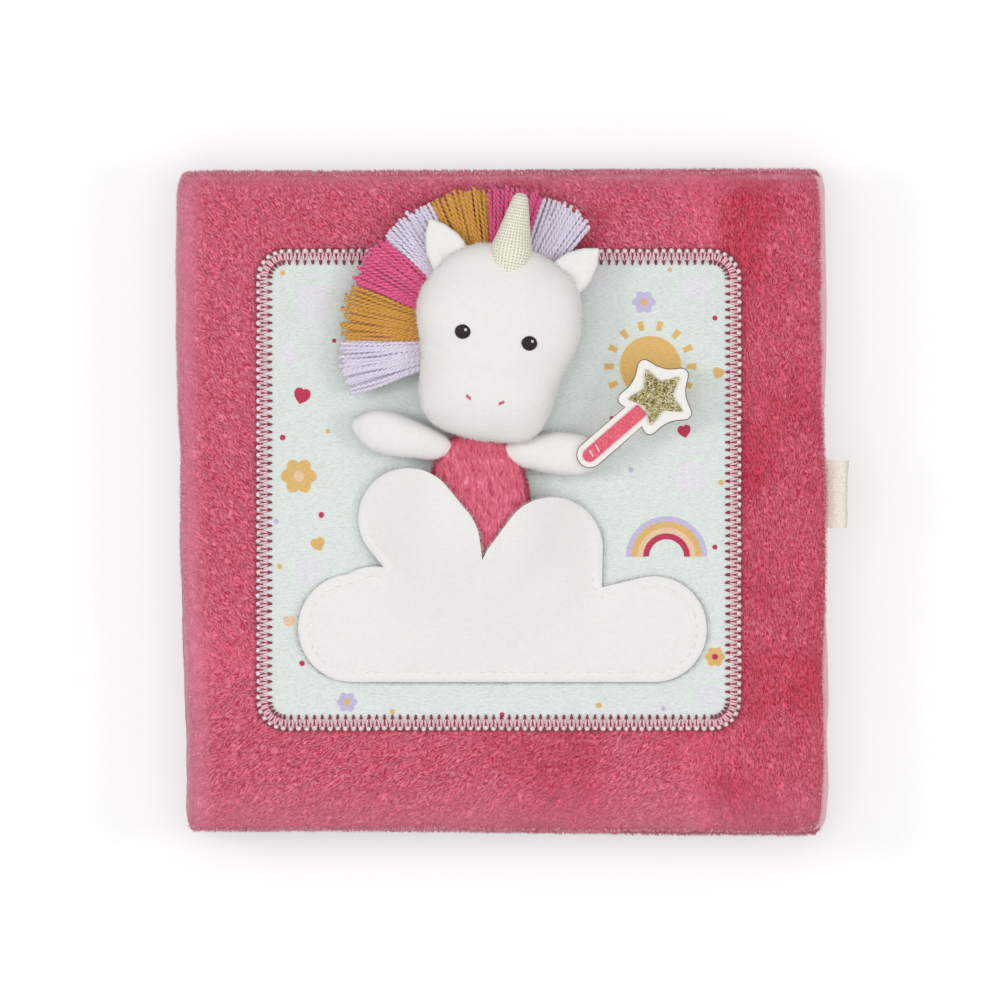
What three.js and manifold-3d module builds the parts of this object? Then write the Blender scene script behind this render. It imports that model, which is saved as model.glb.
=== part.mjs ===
// Crinkle cloth book: a padded plush cover, two padded leaves sewn into the spine, and a small
// plush doll that slides in and out of a cloud-shaped pocket on the front.
// Millimetres. The book lies closed on its back cover, +Z up, the spine at -X, the page's top at +Y.
// The origin is the centre of the underside.
import * as THREE from "three";
import { mergeVertices } from "three/addons/utils/BufferGeometryUtils.js";
import Module from "manifold-3d";

const wasm = await Module();
wasm.setup();

// Book
const bookWidth = 200; // from the spine's outer face to the back cover's free edge
const bookHeight = 206;
const cornerRadius = 5;
const edgeRounding = 2.4; // of the covers' plush edges
const frontSetback = 1.2; // the front cover ends this far short of the back cover
const leafSetback = 0.5; // and the leaves this far
const frontTrim = 2; // the front cover is this much less tall than the back cover
const leafTrim = 3;

// Layers, from the outside in
const plushThickness = 1.8;
const paddingThickness = 4.6;
const filmThickness = 0.4; // crinkle film
const liningThickness = 1;
const spinePadding = 1.6;
const leafCloth = 0.9;
const leafWadding = 4.4;
const layerGap = 0.3; // between two layers, and between a piece and its seat
const fillingInset = 6; // the fillings end this far inside their cloth

// Leaves
const leafCount = 2;
const leafGap = 0.4; // between two leaves, or a leaf and a cover
const gutterWidth = 7; // the flat sewn band between the spine and the padding
const gutterThickness = 1.4;
const beadRadius = 1.2; // the rolled hem on which a leaf turns

// Front panel
const patchSize = new THREE.Vector2(150, 149);
const patchCenter = new THREE.Vector2(-1, 3.8);
const patchRadius = 9;
const patchThickness = 0.8;
const edgingWidth = 5; // the overlocked edge of the patch
const edgingThickness = 0.4;

// Cloud pocket, lobes in shares of its width from the middle of its lower edge
const pocketWidth = 127;
const pocketBottomY = -55.8;
const pocketCloth = 1.6;
const pocketSeam = 3.2; // from the cut edge to the seam
const pocketSideRamp = 15; // where the cloth comes down beside the doll
const pocketBottomRamp = 14;
const pocketPlay = 0.8; // between the doll and the cloth
const pocketSpare = 0.6; // under the doll's lower end
const threadRadius = 0.35;
const cloudLobeShares = [
  { x: -0.229, y: 0.4, r: 0.122 },
  { x: -0.176, y: 0.335, r: 0.122 },
  { x: 0.122, y: 0.327, r: 0.124 },
  { x: 0.064, y: 0.261, r: 0.117 },
  { x: -0.366, y: 0.1315, r: 0.1315 },
  { x: 0.371, y: 0.129, r: 0.129 },
];
const cloudBaseShares = { left: -0.366, right: 0.371, top: 0.261 };
const cloudHeartShares = { x: -0.005, y: 0.164 };
const cloudRingShares = [0.2, 0.38, 0.54, 0.68, 0.8, 0.91, 1];
const cloudSides = 72;
const pocketMouth = { from: 0.12, to: 0.92 }; // the unsewn edge, in shares of a half turn from +X

// Tape loop on the front cover's free edge
const tapeWidth = 21;
const tapeThickness = 0.8;
const tapeReach = 6.7;
const tapeSeam = 3; // held inside the cover's edge
const tapeBulge = 1.9; // half the loop's height
const tapeCenterY = 2.5;

// Doll
const dollX = -7.5;
const torsoHalfWidth = 17;
const torsoDepth = 9.5;
const torsoLength = 60;
const headHalfWidth = 26;
const headHalfHeight = 31;
const headDepth = 24;
const headTilt = THREE.MathUtils.degToRad(-10);
const neckOverlap = 3;
const armLength = 21;
const armHalfWidth = 7;
const armDepth = 10.5;
const leftArmAngle = THREE.MathUtils.degToRad(165);
const rightArmAngle = THREE.MathUtils.degToRad(-3);
const shoulderDrop = 4.5; // left shoulder below the neck
const rightShoulderDrop = 6.5;
const earReach = 43; // from the head's centre to the tip
const earHalfWidth = 6.4;
const earDepth = 4.6;
const earAngle = THREE.MathUtils.degToRad(38); // from the horn
const hornReach = 47;
const hornRadius = 6.6;
const hornTipRadius = 1.3;
const eyeRadius = 2.3;
const eyeThickness = 0.6;
const eyeSpread = 10.5;
const eyeHeight = 1.5;

// Yarn mane, in tufts side by side round the back of the head
const tuftCount = 7;
const firstTuftAngle = THREE.MathUtils.degToRad(200);
const tuftStep = THREE.MathUtils.degToRad(21.5);
const maneReach = 48;
const maneRoot = 15; // inside the head's outline
const maneDepth = 7;
const maneLift = 1.5; // above the doll's back

// Wand sewn to the right hand
const wandAngle = THREE.MathUtils.degToRad(41);
const wandLength = 28; // from the hand's middle to the star's centre
const wandHalfWidth = 2;
const starRadius = 8.4;
const starPoints = 5;
const starValleyShare = 0.55;
const feltBorder = 3;
const feltThickness = 1.4;
const foilThickness = 0.6;

// Worked out
const coverThickness = plushThickness + paddingThickness + filmThickness + liningThickness + 3 * layerGap;
const leafThickness = 2 * leafCloth + leafWadding + filmThickness + 3 * layerGap;
const spineThickness = plushThickness + spinePadding + liningThickness + 2 * layerGap;
const bookThickness = 2 * coverThickness + leafCount * leafThickness + (leafCount + 1) * leafGap;
const spineX = -bookWidth / 2;
const coverRootX = spineX + spineThickness + layerGap;
const beadX = coverRootX + beadRadius;
const freeEdgeX = bookWidth / 2;
const frontEdgeX = freeEdgeX - frontSetback;
const frontHeight = bookHeight - frontTrim;
const patchZ = bookThickness + layerGap;
const frontZ = patchZ + patchThickness + layerGap; // where the pocket and the patch's edging lie
const dollZ = frontZ + edgingThickness + layerGap; // the doll's back, clear of the edging it slides over
const torsoBottomY = pocketBottomY + pocketSeam + pocketBottomRamp + pocketSpare;
const neckY = torsoBottomY + torsoLength;
const maneTopZ = maneLift + maneDepth;
const weldDistance = 1e-3;
const overrun = 1; // how far a cutting tool passes the face it cuts
const curveSteps = 3;
const roundSides = 12;
const roundingSteps = 2;

const colors = {
  plush: 0xcd5070,
  lining: 0xf2cdd4,
  wadding: 0xf5f3ee,
  film: 0xd8dfe4,
  jersey: 0xdae6e2,
  edging: 0xb8405f,
  cloud: 0xeeedea,
  thread: 0xf4f2ee,
  tape: 0xe9dfcf,
  canvas: 0xe6dcc8,
  lilac: 0xe1d7eb,
  ochre: 0xc8912a,
  magenta: 0xcd4682,
  eye: 0x2b1f1e,
  felt: 0xf3efe8,
  crimson: 0xc9415f,
  gold: 0xb9a14c,
};

// Closed geometries as solids, and back
function solidOf(geometry) {
  const bare = geometry.clone();
  bare.deleteAttribute("normal");
  bare.deleteAttribute("uv");
  const welded = mergeVertices(bare, weldDistance);
  return new wasm.Manifold(
    new wasm.Mesh({
      numProp: 3,
      vertProperties: welded.attributes.position.array,
      triVerts: new Uint32Array(welded.index.array),
    }),
  );
}

function geometryOf(solid) {
  const mesh = solid.getMesh();
  return new THREE.BufferGeometry()
    .setAttribute("position", new THREE.BufferAttribute(mesh.vertProperties, 3))
    .setIndex(new THREE.BufferAttribute(mesh.triVerts, 1));
}

const combine = (method) => (first, ...others) =>
  geometryOf(others.reduce((solid, other) => solid[method](solidOf(other)), solidOf(first)));
const joined = combine("add");
const cut = combine("subtract");
const common = combine("intersect");

function node(parent, name, geometry, color, roughness = 0.95) {
  const mesh = new THREE.Mesh(geometry, new THREE.MeshStandardMaterial({ color, roughness, metalness: 0 }));
  mesh.name = name;
  geometry.computeVertexNormals();
  parent.add(mesh);
  return mesh;
}

// Flat shapes and slabs
function roundedRect(width, height, radius) {
  const x = width / 2 - radius;
  const y = height / 2 - radius;
  const shape = new THREE.Shape();
  shape.absarc(x, y, radius, 0, Math.PI / 2);
  shape.absarc(-x, y, radius, Math.PI / 2, Math.PI);
  shape.absarc(-x, -y, radius, Math.PI, 1.5 * Math.PI);
  shape.absarc(x, -y, radius, 1.5 * Math.PI, 2 * Math.PI);
  return shape;
}

// A slab from z = low to z = high, its edges rounded inwards by `rounding`.
function slab(shape, low, high, rounding = 0) {
  const geometry = new THREE.ExtrudeGeometry(shape, {
    depth: high - low - 2 * rounding,
    curveSegments: curveSteps,
    bevelEnabled: rounding > 0,
    bevelThickness: rounding,
    bevelSize: rounding,
    bevelOffset: -rounding,
    bevelSegments: roundingSteps,
  });
  return geometry.translate(0, 0, low + rounding);
}

// A tray of cloth with its closed face down at z = 0, and the layers that lie in it.
function tray(size, thickness, wall, rounding) {
  const outer = slab(roundedRect(size.x, size.y, cornerRadius), 0, thickness, rounding);
  const hollow = roundedRect(size.x - 2 * wall, size.y - 2 * wall, cornerRadius - wall);
  return cut(outer, slab(hollow, wall, thickness + overrun));
}

function filling(size, inset, low, thickness) {
  const radius = Math.min(cornerRadius, inset / 2);
  return slab(roundedRect(size.x - 2 * inset, size.y - 2 * inset, radius), low, low + thickness);
}

function lining(size, wall, low, thickness) {
  const inset = wall + layerGap;
  return slab(roundedRect(size.x - 2 * inset, size.y - 2 * inset, cornerRadius - wall), low, low + thickness);
}

// Swelling forms: closed skins through rings of points
function skin(rings, startTip, endTip) {
  const sides = rings[0].length;
  const points = [startTip, ...rings.flat(), endTip];
  const at = (ring, side) => 1 + ring * sides + (side % sides);
  const faces = [];
  for (let side = 0; side < sides; side++) {
    faces.push(0, at(0, side + 1), at(0, side));
    for (let ring = 0; ring < rings.length - 1; ring++) {
      faces.push(at(ring, side), at(ring, side + 1), at(ring + 1, side + 1));
      faces.push(at(ring, side), at(ring + 1, side + 1), at(ring + 1, side));
    }
    faces.push(points.length - 1, at(rings.length - 1, side), at(rings.length - 1, side + 1));
  }
  return new THREE.BufferGeometry().setFromPoints(points).setIndex(faces);
}

// A form along a line in the XY plane. Each station gives its place along the line and its
// half width and depth; `middle` is the height of its middle, and nothing reaches below `floor`.
function loft(start, angle, stations, { sides = 20, power = 2.3, floor = -Infinity } = {}) {
  const along = new THREE.Vector3(Math.cos(angle), Math.sin(angle), 0);
  const across = new THREE.Vector3(-Math.sin(angle), Math.cos(angle), 0);
  const rounded = (value) => Math.sign(value) * Math.abs(value) ** (2 / power);
  const rings = stations.map(({ place, halfWidth, halfDepth, middle }) =>
    Array.from({ length: sides }, (_, side) => {
      const turn = (2 * Math.PI * side) / sides;
      const point = start.clone().addScaledVector(along, place);
      point.addScaledVector(across, halfWidth * rounded(Math.cos(turn)));
      point.z = Math.max(floor, middle + halfDepth * rounded(Math.sin(turn)));
      return point;
    }),
  );
  const tips = [stations[0], stations[stations.length - 1]].map(({ place, middle }) =>
    start.clone().addScaledVector(along, place).setZ(Math.max(floor, middle)),
  );
  return skin(rings, ...tips);
}

const upright = Math.PI / 2; // the direction of +Y

// Covers and spine
const backCover = new THREE.Group();
const spine = new THREE.Group();
const frontCover = new THREE.Group();
const doll = new THREE.Group();

function paddedCover(parent, prefix, size, layers) {
  const rim = coverThickness - liningThickness;
  node(parent, `${prefix}_plush`, layers.shell, colors.plush);
  node(parent, `${prefix}_padding`, filling(size, fillingInset, plushThickness + layerGap, layers.padding), colors.wadding);
  if (layers.film) {
    const filmZ = rim - layerGap - filmThickness;
    node(parent, `${prefix}_crinkle_film`, filling(size, fillingInset, filmZ, filmThickness), colors.film, 0.3);
  }
  node(parent, `${prefix}_lining`, lining(size, plushThickness, rim, liningThickness), colors.lining);
}

function addBackCover() {
  const size = new THREE.Vector2(freeEdgeX - coverRootX, bookHeight);
  const shell = tray(size, coverThickness, plushThickness, edgeRounding);
  const padding = paddingThickness + filmThickness + layerGap;
  paddedCover(backCover, "back_cover", size, { shell, padding, film: false });
  backCover.position.x = (freeEdgeX + coverRootX) / 2;
}

function addFrontCover() {
  const size = new THREE.Vector2(frontEdgeX - coverRootX, frontHeight);
  const panel = new THREE.Group();
  const slot = new THREE.BoxGeometry(
    2 * (plushThickness + overrun),
    tapeWidth + 2 * layerGap,
    2 * tapeThickness + 2 * layerGap,
  );
  slot.translate(size.x / 2, -tapeCenterY, coverThickness - tapeLevel());
  const shell = cut(tray(size, coverThickness, plushThickness, edgeRounding), slot);
  paddedCover(panel, "front_cover", size, { shell, padding: paddingThickness, film: true });
  panel.position.set((frontEdgeX + coverRootX) / 2, 0, bookThickness);
  panel.rotation.x = Math.PI;
  frontCover.add(panel);
}

// Height of the tape's middle above the front cover's inner face.
function tapeLevel() {
  return liningThickness + layerGap + tapeThickness;
}

function addSpine() {
  const size = new THREE.Vector2(bookThickness, frontHeight);
  const shell = tray(size, spineThickness, plushThickness, edgeRounding);
  const strip = filling(size, fillingInset, plushThickness + layerGap, spinePadding);
  const facing = lining(size, plushThickness, spineThickness - liningThickness, liningThickness);
  node(spine, "spine_plush", shell, colors.plush);
  node(spine, "spine_padding", strip, colors.wadding);
  node(spine, "spine_lining", facing, colors.lining);
  spine.rotation.y = Math.PI / 2;
  spine.position.set(spineX, 0, bookThickness / 2);
}

// Leaves, the first under the front cover
function leafMiddleZ(index) {
  const pitch = leafThickness + leafGap;
  return bookThickness - coverThickness - leafGap - leafThickness / 2 - index * pitch;
}

function leafFrontCloth(size) {
  const shell = tray(size, leafThickness, leafCloth, 0);
  const band = new THREE.BoxGeometry(gutterWidth + leafCloth / 2, size.y, gutterThickness);
  band.translate(-size.x / 2 - gutterWidth / 2 + leafCloth / 4, 0, leafThickness / 2);
  const bead = new THREE.CylinderGeometry(beadRadius, beadRadius, size.y, roundSides);
  bead.translate(-size.x / 2 - gutterWidth, 0, leafThickness / 2);
  return joined(shell, band, bead);
}

function addLeaf(index) {
  const prefix = `leaf_${index + 1}`;
  const rootX = beadX + gutterWidth;
  const edgeX = freeEdgeX - leafSetback;
  const size = new THREE.Vector2(edgeX - rootX, bookHeight - leafTrim);
  const waddingZ = leafCloth + layerGap;
  const filmZ = waddingZ + leafWadding + layerGap;
  const leaf = new THREE.Group();
  node(leaf, `${prefix}_front_cloth`, leafFrontCloth(size), colors.lining);
  node(leaf, `${prefix}_wadding`, filling(size, fillingInset, waddingZ, leafWadding), colors.wadding);
  node(leaf, `${prefix}_crinkle_film`, filling(size, fillingInset, filmZ, filmThickness), colors.film, 0.3);
  node(leaf, `${prefix}_back_cloth`, lining(size, leafCloth, leafThickness - leafCloth, leafCloth), colors.lining);
  leaf.position.set((rootX + edgeX) / 2, 0, leafMiddleZ(index) + leafThickness / 2);
  leaf.rotation.x = Math.PI;
  return leaf;
}

// Tape loop: one tape folded in two, its ends held in the cover's edge
function addTapeLoop() {
  const root = frontEdgeX - plushThickness - tapeSeam;
  const tip = frontEdgeX + tapeReach - tapeBulge;
  const neck = frontEdgeX + tapeThickness;
  const shape = new THREE.Shape();
  shape.moveTo(root, -tapeThickness);
  shape.lineTo(neck, -tapeThickness);
  shape.lineTo(tip, -tapeBulge);
  shape.absarc(tip, 0, tapeBulge, -Math.PI / 2, Math.PI / 2);
  shape.lineTo(neck, tapeThickness);
  shape.lineTo(root, tapeThickness);
  shape.closePath();
  const eye = new THREE.Path();
  eye.moveTo(neck + tapeThickness, 0);
  eye.absarc(tip, 0, tapeBulge - tapeThickness, -Math.PI / 2, Math.PI / 2);
  eye.closePath();
  shape.holes.push(eye);
  const loop = slab(shape, -tapeWidth / 2, tapeWidth / 2).rotateX(Math.PI / 2);
  loop.translate(0, tapeCenterY, bookThickness - coverThickness + tapeLevel());
  node(frontCover, "tape_loop", loop, colors.tape);
}

// Front panel
function addPatch() {
  const { x: width, y: height } = patchSize;
  const patch = slab(roundedRect(width, height, patchRadius), patchZ, patchZ + patchThickness);
  const ring = roundedRect(width, height, patchRadius);
  const inner = 2 * edgingWidth;
  const innerRadius = Math.max(patchRadius - edgingWidth, edgingWidth / 2);
  ring.holes.push(roundedRect(width - inner, height - inner, innerRadius));
  const edging = slab(ring, frontZ, frontZ + edgingThickness);
  node(frontCover, "scene_patch", patch.translate(patchCenter.x, patchCenter.y, 0), colors.jersey);
  node(frontCover, "patch_edging", edging.translate(patchCenter.x, patchCenter.y, 0), colors.edging);
}

// How far a ray from the cloud's heart runs before it leaves the lobes, in shares of its width.
function cloudReach(turn) {
  const ray = { x: Math.cos(turn), y: Math.sin(turn) };
  const reaches = cloudLobeShares.map(({ x, y, r }) => {
    const to = { x: x - cloudHeartShares.x, y: y - cloudHeartShares.y };
    const along = to.x * ray.x + to.y * ray.y;
    const square = r * r - (to.x * to.x + to.y * to.y - along * along);
    return square < 0 ? 0 : along + Math.sqrt(square);
  });
  const { left, right, top } = cloudBaseShares;
  const wall = ((ray.x < 0 ? left : right) - cloudHeartShares.x) / ray.x;
  const level = ((ray.y < 0 ? 0 : top) - cloudHeartShares.y) / ray.y;
  return Math.max(...reaches, Math.min(wall, level));
}

// A point of the cloud, `inset` inside its outline at this turn.
function cloudPoint(turn, share, inset = 0) {
  const reach = share * cloudReach(turn) * pocketWidth - inset;
  return new THREE.Vector2(
    cloudHeartShares.x * pocketWidth + reach * Math.cos(turn),
    pocketBottomY + cloudHeartShares.y * pocketWidth + reach * Math.sin(turn),
  );
}

const smooth = (share) => THREE.MathUtils.smoothstep(share, 0, 1);

// Height of the pocket cloth's inner face: it lies on the patch and rises over the doll.
function pocketInside({ x, y }) {
  const flat = torsoHalfWidth / 2;
  const fall = torsoHalfWidth + pocketSideRamp - flat;
  const across = 1 - smooth((Math.abs(x - dollX) - flat) / fall);
  const up = smooth((y - pocketBottomY - pocketSeam) / pocketBottomRamp);
  return frontZ + (dollZ - frontZ + torsoDepth + pocketPlay) * across * up;
}

function cloudCloth() {
  const layer = (lift) =>
    cloudRingShares.map((share) =>
      Array.from({ length: cloudSides }, (_, side) => {
        const flat = cloudPoint((2 * Math.PI * side) / cloudSides, share);
        return new THREE.Vector3(flat.x, flat.y, pocketInside(flat) + lift);
      }),
    );
  const heart = cloudPoint(0, 0);
  const heartZ = pocketInside(heart);
  return skin(
    [...layer(0), ...layer(pocketCloth).reverse()],
    new THREE.Vector3(heart.x, heart.y, heartZ),
    new THREE.Vector3(heart.x, heart.y, heartZ + pocketCloth),
  );
}

function pocketThread() {
  const steps = 72;
  const from = pocketMouth.to * Math.PI;
  const sweep = 2 * Math.PI - (pocketMouth.to - pocketMouth.from) * Math.PI;
  const route = Array.from({ length: steps + 1 }, (_, step) => {
    const flat = cloudPoint(from + (sweep * step) / steps, 1, pocketSeam);
    return new THREE.Vector3(flat.x, flat.y, pocketInside(flat) + pocketCloth + layerGap + threadRadius);
  });
  const section = new THREE.Shape();
  section.absarc(0, 0, threadRadius, 0, 2 * Math.PI);
  return new THREE.ExtrudeGeometry(section, {
    steps,
    curveSegments: curveSteps,
    bevelEnabled: false,
    extrudePath: new THREE.CatmullRomCurve3(route),
  });
}

function addPocket() {
  node(frontCover, "cloud_pocket", cloudCloth(), colors.cloud);
  node(frontCover, "pocket_stitching", pocketThread(), colors.thread);
}

// Doll. Each form can be grown all round, to cut its neighbours clear of it.
const torsoShares = [
  { place: 0, width: 0.5, depth: 0.45 },
  { place: 0.04, width: 0.8, depth: 0.75 },
  { place: 0.14, width: 0.97, depth: 0.94 },
  { place: 0.34, width: 1, depth: 1 },
  { place: 0.6, width: 0.95, depth: 0.98 },
  { place: 0.82, width: 0.88, depth: 0.98 },
  { place: 0.94, width: 0.72, depth: 0.92 },
  { place: 1, width: 0.45, depth: 0.7 },
];
const torsoMiddleShare = 0.4;

function torsoForm(grow) {
  const start = new THREE.Vector3(dollX, torsoBottomY, 0);
  const stations = torsoShares.map(({ place, width, depth }, index) => ({
    place: place * torsoLength + Math.sign(index - 1) * grow,
    halfWidth: width * torsoHalfWidth + grow,
    halfDepth: depth * torsoDepth * (1 - torsoMiddleShare) + grow,
    middle: dollZ + torsoDepth * torsoMiddleShare,
  }));
  return loft(start, upright, stations, { floor: dollZ - grow });
}

// The head, about its own centre with its crown at +Y.
const headShares = [
  { place: -1, width: 0.26, depth: 0.4 },
  { place: -0.95, width: 0.46, depth: 0.68 },
  { place: -0.84, width: 0.65, depth: 0.88 },
  { place: -0.62, width: 0.8, depth: 1 },
  { place: -0.34, width: 0.87, depth: 1 },
  { place: -0.04, width: 0.95, depth: 0.98 },
  { place: 0.28, width: 1, depth: 0.97 },
  { place: 0.56, width: 0.92, depth: 0.9 },
  { place: 0.78, width: 0.73, depth: 0.77 },
  { place: 0.92, width: 0.48, depth: 0.58 },
  { place: 1, width: 0.22, depth: 0.3 },
];
const headMiddleShare = 0.48;

function headForm(grow) {
  const stations = headShares.map(({ place, width, depth }) => ({
    place: place * (headHalfHeight + grow),
    halfWidth: width * headHalfWidth + grow,
    halfDepth: depth * headDepth * (1 - headMiddleShare) + grow,
    middle: dollZ + headDepth * headMiddleShare,
  }));
  const shape = { sides: 32, power: 2.2, floor: dollZ - grow };
  return loft(new THREE.Vector3(0, 0, 0), upright, stations, shape);
}

const headCenter = new THREE.Vector3(
  dollX - headHalfHeight * Math.sin(headTilt),
  neckY - neckOverlap + headHalfHeight * Math.cos(headTilt),
  0,
);
const clearOfHead = headForm(layerGap);

const earShares = [
  { place: 0, width: 0.55, depth: 0.8 },
  { place: 0.3, width: 0.95, depth: 1 },
  { place: 0.6, width: 1, depth: 0.95 },
  { place: 0.85, width: 0.66, depth: 0.75 },
  { place: 1, width: 0.2, depth: 0.35 },
];

function earForm(angle) {
  const root = headHalfWidth / 2;
  const middle = dollZ + maneTopZ + layerGap + earDepth / 2;
  const stations = earShares.map(({ place, width, depth }) => ({
    place: root + place * (earReach - root),
    halfWidth: width * earHalfWidth,
    halfDepth: (depth * earDepth) / 2,
    middle,
  }));
  return cut(loft(new THREE.Vector3(0, 0, 0), upright + angle, stations, { sides: 16 }), clearOfHead);
}

function hornForm() {
  const middle = dollZ + maneTopZ + layerGap + hornRadius;
  const root = headHalfHeight / 2;
  const stations = [
    { place: root, radius: hornRadius },
    { place: headHalfHeight - hornTipRadius, radius: hornRadius },
    { place: hornReach - hornTipRadius, radius: hornTipRadius },
    { place: hornReach, radius: hornTipRadius / 2 },
  ].map(({ place, radius }) => ({ place, halfWidth: radius, halfDepth: radius, middle }));
  return cut(loft(new THREE.Vector3(0, 0, 0), upright, stations, { sides: 20, power: 2 }), clearOfHead);
}

const tuftEndShare = 0.94; // where a tuft's end starts to round off

function tuftForm(index) {
  const halfWidth = (place) => place * Math.tan(tuftStep / 2) - layerGap / 2;
  const middle = dollZ + maneLift + maneDepth / 2;
  const stations = [
    { place: maneRoot, depth: 0.7 },
    { place: (maneRoot + maneReach) / 2, depth: 1 },
    { place: maneReach * tuftEndShare, depth: 1 },
    { place: maneReach, depth: 0.6 },
  ].map(({ place, depth }) => ({
    place,
    halfWidth: halfWidth(place * (depth < 1 && place > maneRoot ? tuftEndShare : 1)),
    halfDepth: (depth * maneDepth) / 2,
    middle,
  }));
  const angle = firstTuftAngle - index * tuftStep;
  return cut(loft(new THREE.Vector3(0, 0, 0), angle, stations, { sides: 16, power: 4 }), clearOfHead);
}

function eyeForm(side) {
  const post = new THREE.CylinderGeometry(eyeRadius, eyeRadius, headDepth, roundSides);
  post.rotateX(Math.PI / 2).translate(side * eyeSpread, eyeHeight, dollZ + headDepth);
  return cut(common(post, headForm(layerGap + eyeThickness)), clearOfHead);
}

function addHead() {
  const head = new THREE.Group();
  const maneColors = [colors.lilac, colors.ochre, colors.magenta];
  node(head, "doll_head", headForm(0), colors.cloud);
  node(head, "doll_left_ear", earForm(earAngle), colors.cloud);
  node(head, "doll_right_ear", earForm(-earAngle), colors.cloud);
  node(head, "doll_horn", hornForm(), colors.canvas);
  node(head, "doll_left_eye", eyeForm(-1), colors.eye, 0.6);
  node(head, "doll_right_eye", eyeForm(1), colors.eye, 0.6);
  for (let index = 0; index < tuftCount; index++)
    node(head, `mane_tuft_${index + 1}`, tuftForm(index), maneColors[index % maneColors.length]);
  head.position.copy(headCenter);
  head.rotation.z = headTilt;
  doll.add(head);
}

const armShares = [
  { place: 0, width: 0.75, depth: 0.7 },
  { place: 0.25, width: 0.85, depth: 0.85 },
  { place: 0.6, width: 0.97, depth: 0.95 },
  { place: 0.85, width: 1, depth: 1 },
  { place: 1.1, width: 0.8, depth: 0.84 },
  { place: 1.24, width: 0.35, depth: 0.4 },
];

function armForm(shoulder, angle) {
  const stations = armShares.map(({ place, width, depth }) => ({
    place: place * armLength,
    halfWidth: width * armHalfWidth,
    halfDepth: (depth * armDepth) / 2,
    middle: dollZ + armDepth / 2,
  }));
  const arm = loft(shoulder, angle, stations, { floor: dollZ });
  return cut(arm, torsoForm(layerGap), placedWithHead(headForm(layerGap)));
}

function placedWithHead(geometry) {
  return geometry.rotateZ(headTilt).translate(headCenter.x, headCenter.y, 0);
}

function shoulderAt(side, drop) {
  const inside = armHalfWidth / 2;
  return new THREE.Vector3(dollX + side * (torsoHalfWidth - inside), neckY - drop, 0);
}

const rightShoulder = shoulderAt(1, rightShoulderDrop);

function addBody() {
  const torso = cut(torsoForm(0), placedWithHead(headForm(layerGap)));
  node(doll, "doll_torso", torso, colors.plush);
  node(doll, "doll_left_arm", armForm(shoulderAt(-1, shoulderDrop), leftArmAngle), colors.cloud);
  node(doll, "doll_right_arm", armForm(rightShoulder, rightArmAngle), colors.cloud);
}

// Wand, along +X from the hand's middle
function starShape(radius) {
  const shape = new THREE.Shape();
  const corners = 2 * starPoints;
  for (let corner = 0; corner < corners; corner++) {
    const turn = (corner * Math.PI) / starPoints;
    const reach = corner % 2 ? radius * starValleyShare : radius;
    const [x, y] = [wandLength + reach * Math.cos(turn), reach * Math.sin(turn)];
    if (corner) shape.lineTo(x, y);
    else shape.moveTo(x, y);
  }
  shape.closePath();
  return shape;
}

function stickShape(border) {
  const halfWidth = wandHalfWidth + border;
  const shape = new THREE.Shape();
  shape.absarc(0, 0, halfWidth, Math.PI / 2, 1.5 * Math.PI);
  shape.lineTo(wandLength, -halfWidth);
  shape.lineTo(wandLength, halfWidth);
  shape.closePath();
  return shape;
}

function addWand() {
  const wand = new THREE.Group();
  const felt = (shape) => slab(shape, 0, feltThickness);
  const foil = (shape) => slab(shape, feltThickness + layerGap, feltThickness + layerGap + foilThickness);
  const tool = slab(starShape(starRadius + 2 * layerGap), 0, feltThickness + foilThickness + overrun);
  const backing = joined(felt(starShape(starRadius + 2 * feltBorder)), felt(stickShape(feltBorder)));
  node(wand, "wand_backing", backing, colors.felt);
  node(wand, "wand_stick", cut(foil(stickShape(0)), tool), colors.crimson, 0.7);
  node(wand, "wand_star", foil(starShape(starRadius)), colors.gold, 0.4);
  const hand = new THREE.Vector3(Math.cos(rightArmAngle), Math.sin(rightArmAngle), 0);
  wand.position.copy(rightShoulder).addScaledVector(hand, armLength);
  wand.position.z = dollZ + armDepth + layerGap;
  wand.rotation.z = wandAngle;
  doll.add(wand);
}

addBackCover();
addSpine();
addFrontCover();
addTapeLoop();
addPatch();
addPocket();
addBody();
addHead();
addWand();

const book = new THREE.Group();
book.add(backCover, spine, frontCover, doll);
for (let index = 0; index < leafCount; index++) book.add(addLeaf(index));

export default book;
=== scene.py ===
"""Crinkle cloth book: soft goods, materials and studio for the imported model."""

import math

import bpy
import numpy as np
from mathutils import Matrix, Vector
from mathutils.geometry import delaunay_2d_cdt


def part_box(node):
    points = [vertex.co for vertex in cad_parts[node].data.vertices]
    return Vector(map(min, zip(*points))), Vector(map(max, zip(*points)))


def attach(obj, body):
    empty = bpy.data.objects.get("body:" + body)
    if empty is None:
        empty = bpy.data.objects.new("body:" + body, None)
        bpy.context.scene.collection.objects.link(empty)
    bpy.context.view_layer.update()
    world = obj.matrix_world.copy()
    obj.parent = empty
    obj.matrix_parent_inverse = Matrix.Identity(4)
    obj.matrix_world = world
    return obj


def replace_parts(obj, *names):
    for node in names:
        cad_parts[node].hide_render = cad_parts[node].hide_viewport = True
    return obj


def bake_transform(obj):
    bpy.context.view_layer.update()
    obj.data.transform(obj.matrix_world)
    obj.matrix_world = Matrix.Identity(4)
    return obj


bl_info = {
    "name": "Crinkle cloth book",
    "version": (1, 0, 0),
    "blender": (4, 5, 0),
    "location": "3D View > Sidebar > Cloth book",
    "description": "Dresses the packed cloth book in plush, jersey, yarn and felt",
    "category": "Object",
}

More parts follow.
